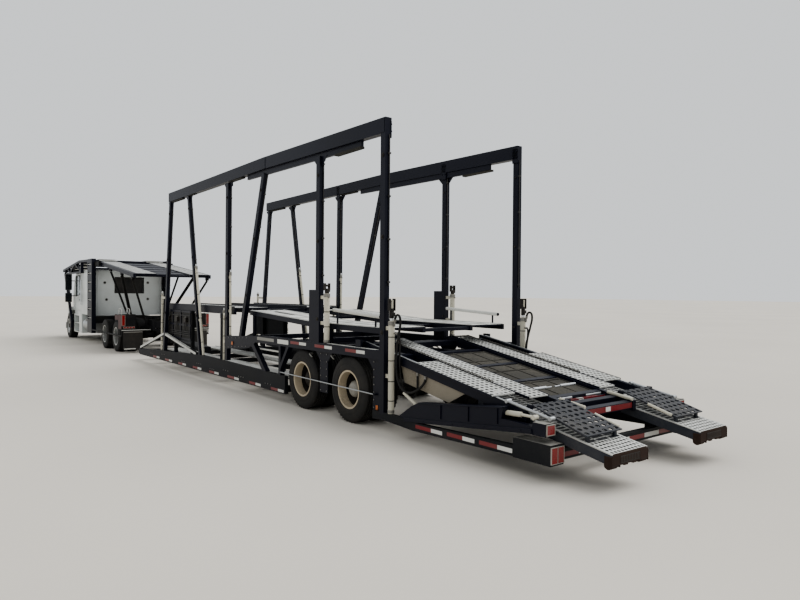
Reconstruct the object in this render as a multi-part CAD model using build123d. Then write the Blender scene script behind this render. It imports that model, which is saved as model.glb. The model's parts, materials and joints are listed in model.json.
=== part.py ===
from build123d import *
import math
import os

# Car transporter: a sleeper tractor with a head rack, and an open-deck trailer hitched low
# behind its drive axles. All lengths are millimetres. x runs forward, y to the left, z up.
# x is measured from the back face of the trailer's rear posts, and each piece is moved by
# ORIGIN_X when it is saved, so that the saved origin is under the middle of the whole rig.

# Overall sizes
REAR_TIP_X = -3200.0
FRONT_TIP_X = 21600.0
ORIGIN_X = (REAR_TIP_X + FRONT_TIP_X) / 2
HALF_WIDTH = 1295.0

# Clearances
PIN_CLEARANCE = 0.08
SEAT_GAP = 0.3
SWING_GAP = 8.0

# Wheels
TRAILER_TYRE_R = 460.0
TRAILER_TYRE_W = 255.0
TRACTOR_TYRE_R = 455.0
DRIVE_TYRE_W = 270.0
STEER_TYRE_W = 300.0
RIM_R = 260.0
RIM_WALL = 14.0
TWIN_GAP = 60.0
TYRE_TUCK = 25.0
TRACTOR_TYRE_TUCK = 65.0
DRUM_R = 200.0
SPINDLE_R = 50.0
AXLE_TUBE_R = 65.0
HAND_HOLE_R = 26.0
HAND_HOLE_CIRCLE = 180.0
HAND_HOLES = 8
TRAILER_AXLE_X = (2190.0, 880.0)
DRIVE_AXLE_X = (14970.0, 13600.0)
STEER_AXLE_X = 20620.0
KINGPIN_Y = 850.0
STEER_PIN_R = 22.0

# Hitch between tractor and trailer
HITCH_X = 11900.0
HITCH_PIN_R = 45.0
HITCH_HEAD_Z = (330.0, 430.0)
TONGUE_Z = 445.0

# Tractor chassis
RAIL_Y = (380.0, 460.0)
RAIL_Z = (700.0, 960.0)
RAIL_X = (12550.0, 21200.0)

# Engine and hood pivot
ENGINE_X = (20200.0, 21050.0)
ENGINE_HALF_W = 340.0
HOOD_PIVOT = (21180.0, 620.0)
HOOD_PIN_R = 15.0

# Cab
CAB_HALF_W = 1150.0
CAB_WALL = 60.0
CAB_FLOOR_Z = 1000.0
CAB_ROOF_Z = 2540.0
SLEEPER_X = (16800.0, 18790.0)
CAB_REAR_X = 18800.0
DOOR_FRONT_X = 19820.0
COWL_X = 20190.0
COWL_Z = 1640.0
DOOR_SILL_Z = 1060.0
DOOR_TOP_Z = 2430.0
BELT_Z = 1680.0
GLASS_T = 8.0

# Head rack over the cab
RACK_POST_X = (16450.0, 17100.0)
RACK_POST_Y = (HALF_WIDTH - 137.0, HALF_WIDTH - 5.0)
RACK_TOP_Z = 2885.0
RACK_SIDE_Y = (HALF_WIDTH - 125.0, HALF_WIDTH - 35.0)
RACK_KNEE_X = 18600.0
RACK_KNEE_Z = 2900.0
RACK_NOSE_Z = 2640.0
RACK_LOW_Z = 2440.0
RACK_LEG_Y = (HALF_WIDTH - 90.0, HALF_WIDTH - 5.0)
RACK_LEG_FOOT_X = (19860.0, 19970.0)
RACK_LEG_FOOT_Z = (420.0, 640.0)

# Trailer
RAIL_TOP_DEPTH = 200.0
RAIL_TOP_W = 100.0
POST_T = 80.0
SILL_T = 60.0
MID_TOP_Z = 1065.0
MID_BOTTOM_Z = 945.0
PLATE_T = 30.0


def block(x0, x1, y0, y1, z0, z1):
    """A box between two corners."""
    centre = Pos((x0 + x1) / 2, (y0 + y1) / 2, (z0 + z1) / 2)
    return centre * Box(abs(x1 - x0), abs(y1 - y0), abs(z1 - z0))


def side_plate(points, y0, y1):
    """A plate with an outline of (x, z) points, standing from y0 to y1."""
    outline = Polyline(*[(x, y0, z) for x, z in points], close=True)
    return extrude(make_face(outline), amount=y1 - y0, dir=(0, 1, 0))


def side_bar(start, end, depth, y0, y1):
    """A straight bar between two (x, z) points, its depth square to its run."""
    dx, dz = end[0] - start[0], end[1] - start[1]
    length = math.hypot(dx, dz)
    nx, nz = -dz / length * depth / 2, dx / length * depth / 2
    corners = [
        (start[0] + nx, start[1] + nz),
        (end[0] + nx, end[1] + nz),
        (end[0] - nx, end[1] - nz),
        (start[0] - nx, start[1] - nz),
    ]
    return side_plate(corners, y0, y1)


def between(start, end, share):
    """The point at a share of the way from start to end."""
    return tuple(a + (b - a) * share for a, b in zip(start, end))


def rod(start, end, radius):
    """A round bar between two points."""
    run = Vector(*end) - Vector(*start)
    return Solid.make_cylinder(radius, run.length, Plane(origin=start, z_dir=run))


def ring(y0, y1, outer, inner, x=0.0, z=0.0):
    """A flat ring about an axis along y."""
    outside = rod((x, y0, z), (x, y1, z), outer)
    return outside - rod((x, y0 - 1, z), (x, y1 + 1, z), inner)


def spun(profile, x, z):
    """A solid turned about an axis along y, from (y, radius) points."""
    outline = Polyline(*[(0, y, r) for y, r in profile], close=True)
    return Pos(x, 0, z) * revolve(make_face(outline), Axis.Y, 360)


def fuse(pieces):
    """One shape from pieces that touch."""
    pieces = list(pieces)
    return pieces[0].fuse(*pieces[1:]) if len(pieces) > 1 else pieces[0]


def mirrored(piece):
    """The right-hand twin of a left-hand piece."""
    return mirror(piece, about=Plane.XZ)


def pair(piece):
    """A left-hand piece and its right-hand twin."""
    return [piece, mirrored(piece)]


def save(name, *pieces):
    """Write one node, moved to the saved origin."""
    solids = []
    for piece in pieces:
        solids.extend(piece.moved(Location((-ORIGIN_X, 0, 0))).solids())
    shape = solids[0] if len(solids) == 1 else Compound(solids)
    export_step(shape, f"parts/{name}.step")


def save_sides(name, piece):
    """Write a left-hand node and its right-hand twin."""
    save(f"{name}_left", piece)
    save(f"{name}_right", mirrored(piece))


# Wheels


def tyre(y0, y1, radius, x):
    """A road tyre with rounded shoulders, standing on the ground."""
    shoulder = 38.0
    bulge = 0.48
    bead = RIM_R + SEAT_GAP
    side_r = bead + (radius - bead) * bulge
    profile = [
        (y0 + 22, bead),
        (y0, side_r),
        (y0 + 8, radius - shoulder),
        (y0 + 20, radius - 10),
        (y0 + shoulder, radius),
        (y1 - shoulder, radius),
        (y1 - 20, radius - 10),
        (y1 - 8, radius - shoulder),
        (y1, side_r),
        (y1 - 22, bead),
    ]
    return spun(profile, x, radius)


def rim_barrel(y0, y1, x, z):
    """The barrel of a rim with a lip at each side."""
    inner = RIM_R - RIM_WALL
    lip = 10.0
    profile = [
        (y0, inner),
        (y0, RIM_R + lip),
        (y0 + lip, RIM_R + lip),
        (y0 + lip, RIM_R),
        (y1 - lip, RIM_R),
        (y1 - lip, RIM_R + lip),
        (y1, RIM_R + lip),
        (y1, inner),
    ]
    return spun(profile, x, z)


def hand_holes(y0, y1, x, z):
    """Cutters for the holes round a rim's disc."""
    cutters = []
    for index in range(HAND_HOLES):
        angle = 2 * math.pi * index / HAND_HOLES
        px = x + HAND_HOLE_CIRCLE * math.cos(angle)
        pz = z + HAND_HOLE_CIRCLE * math.sin(angle)
        cutters.append(rod((px, y0, pz), (px, y1, pz), HAND_HOLE_R))
    return cutters


def dish(y_hub, y_barrel, x, z, thickness=12.0):
    """The coned disc between hub and barrel."""
    hub_r = 115.0
    inner = RIM_R - RIM_WALL + 1
    flat_r = inner - 45
    step = thickness if y_barrel > y_hub else -thickness
    profile = [
        (y_hub, hub_r),
        (y_hub, flat_r),
        (y_barrel, inner),
        (y_barrel + step, inner),
        (y_hub + step, flat_r - 8),
        (y_hub + step, hub_r),
    ]
    return spun(profile, x, z)


def twin_wheel(outer_y, width, radius, x):
    """Tyres and rim of a left-hand twin wheel, its outer face at outer_y."""
    z = radius
    outer0 = outer_y - width
    inner1 = outer0 - TWIN_GAP
    inner0 = inner1 - width
    tyres = [tyre(outer0, outer_y, radius, x), tyre(inner0, inner1, radius, x)]
    plane = outer0 - TWIN_GAP / 2
    hub = ring(inner0 + 40, plane + 150, 122, SPINDLE_R + PIN_CLEARANCE, x, z)
    cap = rod((x, plane + 149, z), (x, plane + 185, z), 78)
    drum = ring(inner0 + 40, inner0 + 200, DRUM_R, 120, x, z)
    parts = [
        rim_barrel(outer0 + 8, outer_y - 8, x, z),
        rim_barrel(inner0 + 8, inner1 - 8, x, z),
        dish(plane, outer0 + 30, x, z),
        dish(plane, inner1 - 30, x, z),
        hub,
        cap,
        drum,
    ]
    rim = fuse(parts)
    for cutter in hand_holes(plane - 60, plane + 80, x, z):
        rim = rim - cutter
    return tyres, rim


def steer_wheel(outer_y, width, radius, x):
    """Tyre and rim of the left-hand steered wheel."""
    z = radius
    y0 = outer_y - width
    plane = outer_y - 120
    hub = ring(y0 + 70, outer_y - 55, 122, SPINDLE_R - 8 + PIN_CLEARANCE, x, z)
    cap = rod((x, outer_y - 56, z), (x, outer_y - 20, z), 70)
    drum = ring(y0 + 35, y0 + 150, DRUM_R, 110, x, z)
    parts = [
        rim_barrel(y0 + 8, outer_y - 8, x, z),
        dish(plane, outer_y - 60, x, z),
        hub,
        cap,
        drum,
    ]
    rim = fuse(parts)
    for cutter in hand_holes(plane - 40, plane + 60, x, z):
        rim = rim - cutter
    return [tyre(y0, outer_y, radius, x)], rim


TRAILER_OUTER_Y = HALF_WIDTH - TYRE_TUCK
TRACTOR_OUTER_Y = HALF_WIDTH - TRACTOR_TYRE_TUCK


def save_wheels():
    """All ten wheels, each with its tyre and its rim."""
    # name, builder, outer y, tyre width, tyre radius, axle x
    table = [
        ("trailer_1", twin_wheel, TRAILER_OUTER_Y, TRAILER_TYRE_W, TRAILER_TYRE_R, TRAILER_AXLE_X[0]),
        ("trailer_2", twin_wheel, TRAILER_OUTER_Y, TRAILER_TYRE_W, TRAILER_TYRE_R, TRAILER_AXLE_X[1]),
        ("drive_1", twin_wheel, TRACTOR_OUTER_Y, DRIVE_TYRE_W, TRACTOR_TYRE_R, DRIVE_AXLE_X[0]),
        ("drive_2", twin_wheel, TRACTOR_OUTER_Y, DRIVE_TYRE_W, TRACTOR_TYRE_R, DRIVE_AXLE_X[1]),
        ("steer", steer_wheel, TRACTOR_OUTER_Y, STEER_TYRE_W, TRACTOR_TYRE_R, STEER_AXLE_X),
    ]
    for name, builder, outer_y, width, radius, x in table:
        tyres, rim = builder(outer_y, width, radius, x)
        save(f"wheel_{name}_left", rim, *tyres)
        save(f"wheel_{name}_right", mirrored(rim), *[mirrored(t) for t in tyres])


# Axles


def dead_axle(x, z, inner_y, spindle_end, tube_r):
    """One axle tube with a spindle at each end."""
    shoulder = inner_y - SWING_GAP
    tube = rod((x, -shoulder, z), (x, shoulder, z), tube_r)
    spindle = rod((x, -spindle_end, z), (x, spindle_end, z), SPINDLE_R)
    return fuse([tube, spindle])


def save_trailer_axles():
    """The trailer's two axles on their spring hangers."""
    inner0 = TRAILER_OUTER_Y - 2 * TRAILER_TYRE_W - TWIN_GAP
    spindle_end = inner0 + TRAILER_TYRE_W + TWIN_GAP / 2 + 120
    spring_y = (455.0, 545.0)
    parts = []
    for x in TRAILER_AXLE_X:
        parts.append(dead_axle(x, TRAILER_TYRE_R, inner0 + 40, spindle_end, AXLE_TUBE_R))
        seat = block(x - 110, x + 110, *spring_y, TRAILER_TYRE_R + 40, TRAILER_TYRE_R + 110)
        parts.extend(pair(seat))
        low = TRAILER_TYRE_R + 100
        bag = Solid.make_cylinder(85, TRAILER_RAIL_Z[0] - low, Plane((x, 500, low)))
        parts.extend(pair(bag))
    save("trailer_axles", fuse(parts))


TRAILER_RAIL_Y = (440.0, 560.0)
TRAILER_RAIL_Z = (760.0, 940.0)


def save_drive_axles():
    """Both drive axles with their differentials and air springs."""
    inner0 = TRACTOR_OUTER_Y - 2 * DRIVE_TYRE_W - TWIN_GAP
    spindle_end = inner0 + DRIVE_TYRE_W + TWIN_GAP / 2 + 120
    parts = []
    for x in DRIVE_AXLE_X:
        parts.append(dead_axle(x, TRACTOR_TYRE_R, inner0 + 40, spindle_end, AXLE_TUBE_R + 15))
        parts.append(rod((x, -90, TRACTOR_TYRE_R), (x, 90, TRACTOR_TYRE_R), 190))
        parts.append(rod((x, 0, TRACTOR_TYRE_R), (x + 330, 0, TRACTOR_TYRE_R + 30), 82))
        low = TRACTOR_TYRE_R + 60
        bag = Solid.make_cylinder(75, RAIL_Z[0] - low, Plane((x - 60, sum(RAIL_Y) / 2, low)))
        parts.extend(pair(bag))
    save("drive_axles", fuse(parts))


BOSS_Z = (TRACTOR_TYRE_R - 75, TRACTOR_TYRE_R + 75)


def save_front_axle():
    """The steered axle beam with a kingpin boss at each end."""
    x = STEER_AXLE_X
    drop = 70.0
    beam = block(x - 45, x + 45, -KINGPIN_Y + 110, KINGPIN_Y - 110, BOSS_Z[0] - drop, BOSS_Z[0] + 50)
    parts = [beam]
    for side in (1, -1):
        y = side * KINGPIN_Y
        arm = block(x - 45, x + 45, y - side * 170, y, BOSS_Z[0] - 20, BOSS_Z[1])
        parts.append(arm)
        parts.append(Solid.make_cylinder(55, BOSS_Z[1] - BOSS_Z[0], Plane((x, y, BOSS_Z[0]))))
        spring = block(x - 450, x + 450, side * RAIL_Y[0], side * RAIL_Y[1], BOSS_Z[0] + 40, BOSS_Z[0] + 85)
        parts.append(spring)
        for end in (-420, 420):
            parts.append(block(x + end - 30, x + end + 30, side * RAIL_Y[0], side * RAIL_Y[1],
                               BOSS_Z[0] + 80, RAIL_Z[0]))
    axle = fuse(parts)
    for side in (1, -1):
        bore = STEER_PIN_R + PIN_CLEARANCE
        y = side * KINGPIN_Y
        axle = axle - Solid.make_cylinder(bore, 400, Plane((x, y, BOSS_Z[0] - 100)))
        relief = block(x - 60, x + 60, y - 70, y + 70, BOSS_Z[0] - 60, BOSS_Z[0])
        axle = axle - relief
    save("front_axle", axle)


def save_knuckles():
    """The left and right knuckles, each a yoke with its pin and spindle."""
    x = STEER_AXLE_X
    ear = 32.0
    web_y = (KINGPIN_Y + 62, KINGPIN_Y + 82)
    top = BOSS_Z[1] + SWING_GAP
    bottom = BOSS_Z[0] - SWING_GAP
    spindle_end = TRACTOR_OUTER_Y - 70
    parts = [
        block(x - 48, x + 48, KINGPIN_Y - 45, web_y[1], top, top + ear),
        block(x - 48, x + 48, KINGPIN_Y - 45, web_y[1], bottom - ear, bottom),
        block(x - 48, x + 48, web_y[0], web_y[1], bottom - ear, top + ear),
        Solid.make_cylinder(STEER_PIN_R, top - bottom + 2 * ear, Plane((x, KINGPIN_Y, bottom - ear))),
        rod((x, web_y[0], TRACTOR_TYRE_R), (x, spindle_end, TRACTOR_TYRE_R), SPINDLE_R - 8),
    ]
    save_sides("knuckle", fuse(parts))


# Tractor chassis


def save_tractor_frame():
    """Two rails, their cross-members and the outriggers that carry rack and tanks."""
    parts = pair(block(*RAIL_X, *RAIL_Y, *RAIL_Z))
    cross_x = (RAIL_X[0] + 50, 14000.0, 15400.0, 16600.0, 18000.0, 19500.0, RAIL_X[1] - 65)
    for x in cross_x:
        parts.append(block(x - 60, x + 60, -RAIL_Y[0] - 5, RAIL_Y[0] + 5, RAIL_Z[0] + 30, RAIL_Z[1] - 30))
    outrigger = block(RACK_POST_X[0] + 50, RACK_POST_X[0] + 300, RAIL_Y[1] - 5, RACK_POST_Y[0],
                      RAIL_Z[0] + 20, RAIL_Z[1] - 20)
    parts.extend(pair(outrigger))
    leg_arm = block(*RACK_LEG_FOOT_X, RAIL_Y[1] - 5, RACK_LEG_Y[0], RAIL_Z[0] - 90, RAIL_Z[0] + 40)
    parts.extend(pair(leg_arm))
    bumper_horn = block(RAIL_X[1] - 120, BUMPER_X[0], RAIL_Y[0], RAIL_Y[1], BUMPER_Z[0] + 30, RAIL_Z[0] + 5)
    bumper_horn = bumper_horn - rod((HOOD_PIVOT[0], RAIL_Y[1] - 40, HOOD_PIVOT[1]),
                                    (HOOD_PIVOT[0], RAIL_Y[1] + 10, HOOD_PIVOT[1]), HOOD_PIN_R + PIN_CLEARANCE)
    parts.extend(pair(bumper_horn))
    for x in (ENGINE_X[0] + 200, ENGINE_X[1] - 200):
        parts.extend(pair(block(x - 50, x + 50, ENGINE_HALF_W, RAIL_Y[0] + 5, RAIL_Z[0] + 20, RAIL_Z[0] + 90)))
    save("tractor_frame", fuse(parts + [stinger()]))


def stinger():
    """The low hitch arm behind the drive axles with its pin head."""
    z0, z1 = HITCH_HEAD_Z
    arm_points = [
        (HITCH_X + 60, z0),
        (12350, z0),
        (12760, 560),
        (12760, RAIL_Z[0]),
        (RAIL_X[0], RAIL_Z[0]),
        (12280, z1),
        (HITCH_X + 60, z1),
    ]
    arm = side_plate(arm_points, -170, 170)
    head = Solid.make_cylinder(165, z1 - z0, Plane((HITCH_X, 0, z0)))
    yoke = block(RAIL_X[0], 12760, -RAIL_Y[1], RAIL_Y[1], RAIL_Z[0] - 60, RAIL_Z[0])
    hitch = fuse([arm, head, yoke])
    return hitch - Solid.make_cylinder(HITCH_PIN_R + PIN_CLEARANCE, 400, Plane((HITCH_X, 0, z0 - 50)))


BUMPER_X = (21270.0, 21540.0)
BUMPER_Z = (330.0, 560.0)


def save_bumper():
    """The front bumper with swept ends."""
    points = [
        (BUMPER_X[0], -1200),
        (BUMPER_X[1] - 130, -1200),
        (BUMPER_X[1], -900),
        (BUMPER_X[1], 900),
        (BUMPER_X[1] - 130, 1200),
        (BUMPER_X[0], 1200),
    ]
    outline = Polyline(*[(x, y, BUMPER_Z[0]) for x, y in points], close=True)
    bar = extrude(make_face(outline), amount=BUMPER_Z[1] - BUMPER_Z[0], dir=(0, 0, 1))
    save("bumper", bar)


def save_engine():
    """The engine and gearbox as one plain block."""
    save("engine", block(*ENGINE_X, -ENGINE_HALF_W, ENGINE_HALF_W, RAIL_Z[0] - 100, 1120))


TANK_R = 275.0
TANK_Y = 890.0
TANK_Z = 610.0
TANK_X = (17150.0, 18430.0)


def save_tanks():
    """A fuel tank on each side with its brackets to the rail."""
    parts = [rod((TANK_X[0], TANK_Y, TANK_Z), (TANK_X[1], TANK_Y, TANK_Z), TANK_R)]
    for x in (TANK_X[0] + 200, TANK_X[1] - 200):
        bracket = block(x - 40, x + 40, RAIL_Y[1], TANK_Y - TANK_R + 40, RAIL_Z[0] - 60, RAIL_Z[0] + 120)
        parts.append(bracket)
    save("fuel_tanks", *pair(fuse(parts)))


STEP_X = (18500.0, DOOR_FRONT_X + 10)
STEP_Y = (860.0, 1180.0)
STEP_Z = (280.0, CAB_FLOOR_Z - 40)
STEP_OPEN_X = (CAB_REAR_X + 160, DOOR_FRONT_X - 60)
STEP_SKIN = 20.0


def save_cab_steps():
    """The side fairing under the cab with two steps let into it."""
    x0, x1 = STEP_X
    y0, y1 = STEP_Y
    z0, z1 = STEP_Z
    skin = STEP_SKIN
    parts = [
        block(x0, x0 + skin, y0, y1, z0, z1),
        block(x1 - skin, x1, y0, y1, z0, z1),
        block(x0, x1, y0, y1, z0, z0 + 30),
        block(x0, x1, y0, y1, 610, 640),
        block(x0, x1, y0, y0 + skin, z0, z1),
        block(x0, STEP_OPEN_X[0], y1 - skin, y1, z0, z1),
        block(STEP_OPEN_X[1], x1, y1 - skin, y1, z0, z1),
        block(x0, x1, y1 - skin, y1, z1 - 70, z1),
    ]
    for x in STEP_OPEN_X:
        parts.append(block(x - skin / 2, x + skin / 2, y0, y1, z0, z1))
    save("cab_steps", *pair(fuse(parts)))


HANGER_X = RAIL_X[0] + 150.0


def save_tractor_rear():
    """Flap hangers, lamp boxes and wheel guards, with the flaps and the lamps."""
    x = HANGER_X
    hanger_z = (640.0, 690.0)
    hanger = block(x, x + 50, RAIL_Y[1], HALF_WIDTH - 5, *hanger_z)
    upright = block(x, x + 50, RAIL_Y[1], RAIL_Y[1] + 20, hanger_z[0], RAIL_Z[0] + 60)
    box = block(x, x + 380, 900, HALF_WIDTH - 10, hanger_z[1], 1130)
    side_guard = block(x + 380, x + 750, HALF_WIDTH - 40, HALF_WIDTH - 10, 950, 1120)
    guard_r = 26.0
    guard_y = HALF_WIDTH - guard_r - 3
    guard_z = 505.0
    drop_x = x + 25
    guard = rod((RACK_POST_X[0], guard_y, guard_z), (drop_x, guard_y, guard_z), guard_r)
    drop = block(drop_x - 12, drop_x + 12, guard_y - 12, guard_y + 12, guard_z - 18, hanger_z[0])
    save("rear_brackets", *pair(fuse([hanger, upright, box, side_guard, guard, drop])))
    flap = block(x + 15, x + 27, 690, HALF_WIDTH - 60, 110, hanger_z[0])
    save("mud_flaps", *pair(flap))
    lamps = []
    lamps.append(block(x - 12, x, HALF_WIDTH - 100, HALF_WIDTH - 20, 810, 1110))
    for y in (HALF_WIDTH - 365, HALF_WIDTH - 285, HALF_WIDTH - 205, HALF_WIDTH - 125):
        lamps.append(block(x - 12, x, y, y + 60, 735, 775))
    save("tractor_tail_lamps", *lamps, *[mirrored(lamp) for lamp in lamps])


# Cab


def cab_profile(inset):
    """The cab's side outline, moved in by the inset."""
    i = inset
    return [
        (CAB_REAR_X + i * 0, CAB_FLOOR_Z - 40 + i),
        (DOOR_FRONT_X + 15 - i, CAB_FLOOR_Z - 40 + i),
        (DOOR_FRONT_X + 15 - i, 1080 + i),
        (COWL_X - 20 - i, 1080 + i),
        (COWL_X - i, COWL_Z - i * 0.3),
        (DOOR_FRONT_X + 40 - i, 2410 - i * 0.3),
        (DOOR_FRONT_X - 130 - i * 0.6, 2500 - i),
        (DOOR_FRONT_X - 430 - i * 0.3, CAB_ROOF_Z - i),
        (CAB_REAR_X, CAB_ROOF_Z - i),
    ]


def door_outline(gap):
    """The door's side outline, moved in by a gap."""
    return [
        (CAB_REAR_X + 60 + gap, DOOR_SILL_Z + gap),
        (DOOR_FRONT_X - 40 - gap, DOOR_SILL_Z + gap),
        (DOOR_FRONT_X - 40 - gap, DOOR_TOP_Z - 70 - gap),
        (DOOR_FRONT_X - 140 - gap, DOOR_TOP_Z - gap),
        (CAB_REAR_X + 60 + gap, DOOR_TOP_Z - gap),
    ]


def window_outline(gap):
    """The door window's outline, moved in by a gap."""
    return [
        (CAB_REAR_X + 140 + gap, BELT_Z + gap),
        (DOOR_FRONT_X - 110 - gap, BELT_Z - 90 + gap),
        (DOOR_FRONT_X - 110 - gap, DOOR_TOP_Z - 110 - gap),
        (DOOR_FRONT_X - 180 - gap, DOOR_TOP_Z - 70 - gap),
        (CAB_REAR_X + 140 + gap, DOOR_TOP_Z - 70 - gap),
    ]


WINDSHIELD_LOW = (COWL_X - 8, COWL_Z + 60)
WINDSHIELD_HIGH = (DOOR_FRONT_X + 68, 2350.0)


HINGE_AXIS = (DOOR_FRONT_X - 30.0, CAB_HALF_W + 12.0)
HINGE_PIN_R = 6.0
HINGE_HALF_H = 30.0
HINGE_Z = (1220.0, 2140.0)


def hinge_lugs():
    """The cab's half of the left door's hinges: a lug above and below each knuckle, and the pin."""
    x, y = HINGE_AXIS
    parts = []
    for z in HINGE_Z:
        for low in (z - HINGE_HALF_H - 28, z + HINGE_HALF_H + 6):
            parts.append(block(x - 8, x + 34, CAB_HALF_W - 2, y + 10, low, low + 22))
        length = 2 * HINGE_HALF_H + 40
        parts.append(Solid.make_cylinder(HINGE_PIN_R, length, Plane((x, y, z - length / 2))))
        parts.append(block(x + 20, x + 34, CAB_HALF_W - 2, y + 10, z - HINGE_HALF_H - 10, z + HINGE_HALF_H + 10))
    return fuse(parts)


def hinge_knuckles():
    """The left door's half of its hinges."""
    x, y = HINGE_AXIS
    parts = []
    for z in HINGE_Z:
        knuckle = Solid.make_cylinder(10, 2 * HINGE_HALF_H, Plane((x, y, z - HINGE_HALF_H)))
        arm = block(x - 60, x, y - 6, y + 6, z - HINGE_HALF_H, z + HINGE_HALF_H)
        foot = block(x - 60, x - 20, CAB_HALF_W - 2, y + 6, z - HINGE_HALF_H, z + HINGE_HALF_H)
        bore = Solid.make_cylinder(HINGE_PIN_R + PIN_CLEARANCE, 200, Plane((x, y, z - 100)))
        parts.append(fuse([knuckle, arm, foot]) - bore)
    return parts


def save_cab():
    """The cab shell with its door and windshield openings."""
    outer = side_plate(cab_profile(0), -CAB_HALF_W, CAB_HALF_W)
    top_edges = outer.edges().filter_by(lambda e: abs(e.center().Y) > CAB_HALF_W - 1
                                        and e.center().Z > 2400)
    outer = fillet(top_edges, 90)
    inner = side_plate(cab_profile(CAB_WALL), -CAB_HALF_W + CAB_WALL, CAB_HALF_W - CAB_WALL)
    shell = outer - inner
    opening = side_plate(door_outline(0), CAB_HALF_W - CAB_WALL - 20, CAB_HALF_W + 20)
    shell = shell - opening - mirrored(opening)
    glass_hole = side_bar(WINDSHIELD_LOW, WINDSHIELD_HIGH, 300, -980, 980)
    shell = shell - glass_hole
    save("cab_shell", fuse([shell] + pair(hinge_lugs())))
    slope_x = WINDSHIELD_HIGH[0] - WINDSHIELD_LOW[0]
    slope_z = WINDSHIELD_HIGH[1] - WINDSHIELD_LOW[1]
    run = math.hypot(slope_x, slope_z)
    shift = (-slope_z / run * 27, slope_x / run * 27)
    ends = [between(WINDSHIELD_LOW, WINDSHIELD_HIGH, share) for share in (0.0005, 0.9995)]
    ends = [(x + shift[0], z + shift[1]) for x, z in ends]
    windshield = side_bar(*ends, GLASS_T, -979.7, 979.7)
    rear_x = SLEEPER_X[0]
    rear_glass = block(rear_x + 20, rear_x + 20 + GLASS_T, -REAR_WINDOW_Y + SEAT_GAP, REAR_WINDOW_Y - SEAT_GAP,
                       REAR_WINDOW_Z[0] + SEAT_GAP, REAR_WINDOW_Z[1] - SEAT_GAP)
    save("cab_glass", windshield, rear_glass)


REAR_WINDOW_Y = 450.0
REAR_WINDOW_Z = (1770.0, 2250.0)
SLEEPER_FLOOR_Z = 960.0


def save_sleeper():
    """The sleeper box with rounded rear edges and its rear window."""
    outer = block(*SLEEPER_X, -CAB_HALF_W, CAB_HALF_W, SLEEPER_FLOOR_Z, CAB_ROOF_Z)
    round_edges = outer.edges().filter_by(lambda e: abs(e.center().X - SLEEPER_X[0]) < 1
                                          and e.center().Z > SLEEPER_FLOOR_Z + 1)
    outer = fillet(round_edges, 70)
    inner = block(SLEEPER_X[0] + CAB_WALL, SLEEPER_X[1] + 10, -CAB_HALF_W + CAB_WALL,
                  CAB_HALF_W - CAB_WALL, SLEEPER_FLOOR_Z + CAB_WALL, CAB_ROOF_Z - CAB_WALL)
    window = block(SLEEPER_X[0] - 20, SLEEPER_X[0] + CAB_WALL + 20, -REAR_WINDOW_Y, REAR_WINDOW_Y,
                   *REAR_WINDOW_Z)
    save("sleeper_shell", outer - inner - window)


def save_doors():
    """Both doors, each as thick as the cab's wall, with the glass set in."""
    panel = side_plate(door_outline(SWING_GAP), CAB_HALF_W - CAB_WALL + 2, CAB_HALF_W)
    hole = side_plate(window_outline(0), CAB_HALF_W - CAB_WALL - 20, CAB_HALF_W + 20)
    save_sides("door", fuse([panel - hole] + hinge_knuckles()))
    glass_y = CAB_HALF_W - CAB_WALL / 2
    glass = side_plate(window_outline(SEAT_GAP), glass_y, glass_y + GLASS_T)
    save_sides("door_glass", glass)


def save_cab_inside():
    """Dashboard, steering wheel and seats."""
    dash_x = COWL_X - 440
    dash_points = [(dash_x, 1450), (dash_x + 280, 1450), (dash_x + 280, 1640), (dash_x + 120, 1680),
                   (dash_x, 1600)]
    inside_y = CAB_HALF_W - CAB_WALL
    dash = side_plate(dash_points, -inside_y + SEAT_GAP, inside_y - SEAT_GAP)
    column_foot = (dash_x + 20, 520, 1560)
    column_head = (dash_x - 160, 520, 1640)
    support = block(dash_x + 220, COWL_X - CAB_WALL - 16, -300, 300, 1450, 1520)
    save("dashboard", fuse([dash, rod(column_foot, column_head, 30), support]))
    plane = Plane(origin=column_head, z_dir=Vector(*column_head) - Vector(*column_foot))
    hub = Pos(0, 0, 20) * Cylinder(55, 40)
    spokes = Pos(0, 0, 30) * Box(425, 40, 16)
    wheel = fuse([Pos(0, 0, 30) * Torus(215, 16), hub, spokes])
    save("steering_wheel", plane.location * wheel)
    floor = CAB_FLOOR_Z - 40 + CAB_WALL
    seats = []
    for y in (520.0, -520.0):
        seat_x = CAB_REAR_X + 90
        base = block(seat_x + 60, seat_x + 460, y - 200, y + 200, floor, floor + 280)
        cushion = block(seat_x, seat_x + 540, y - 250, y + 250, floor + 280, floor + 420)
        back = side_bar((seat_x + 30, floor + 400), (seat_x - 50, floor + 1050), 130, y - 240, y + 240)
        seats.append(fuse([base, cushion, back]))
    bunk = block(SLEEPER_X[0] + CAB_WALL, SLEEPER_X[0] + CAB_WALL + 800, -CAB_HALF_W + CAB_WALL,
                 CAB_HALF_W - CAB_WALL, 1300, 1480)
    save("seats", *seats, bunk)


HOOD_REAR_X = COWL_X + 15
HOOD_NOSE_X = 21450.0
HOOD_LOW_X = 21240.0
FENDER_Y = HALF_WIDTH - 105.0


def hood_profile(inset):
    """The hood's side outline, moved in by the inset."""
    i = inset
    return [
        (HOOD_REAR_X, 1075 + i * 0),
        (HOOD_REAR_X, COWL_Z - i),
        (HOOD_NOSE_X - 450 - i * 0.3, 1490 - i),
        (HOOD_NOSE_X - 130 - i * 0.7, 1380 - i),
        (HOOD_NOSE_X - 20 - i, 1230 - i * 0.5),
        (HOOD_NOSE_X - i, 760),
        (HOOD_LOW_X + i, 760),
        (HOOD_LOW_X + i, 1075),
    ]


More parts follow.
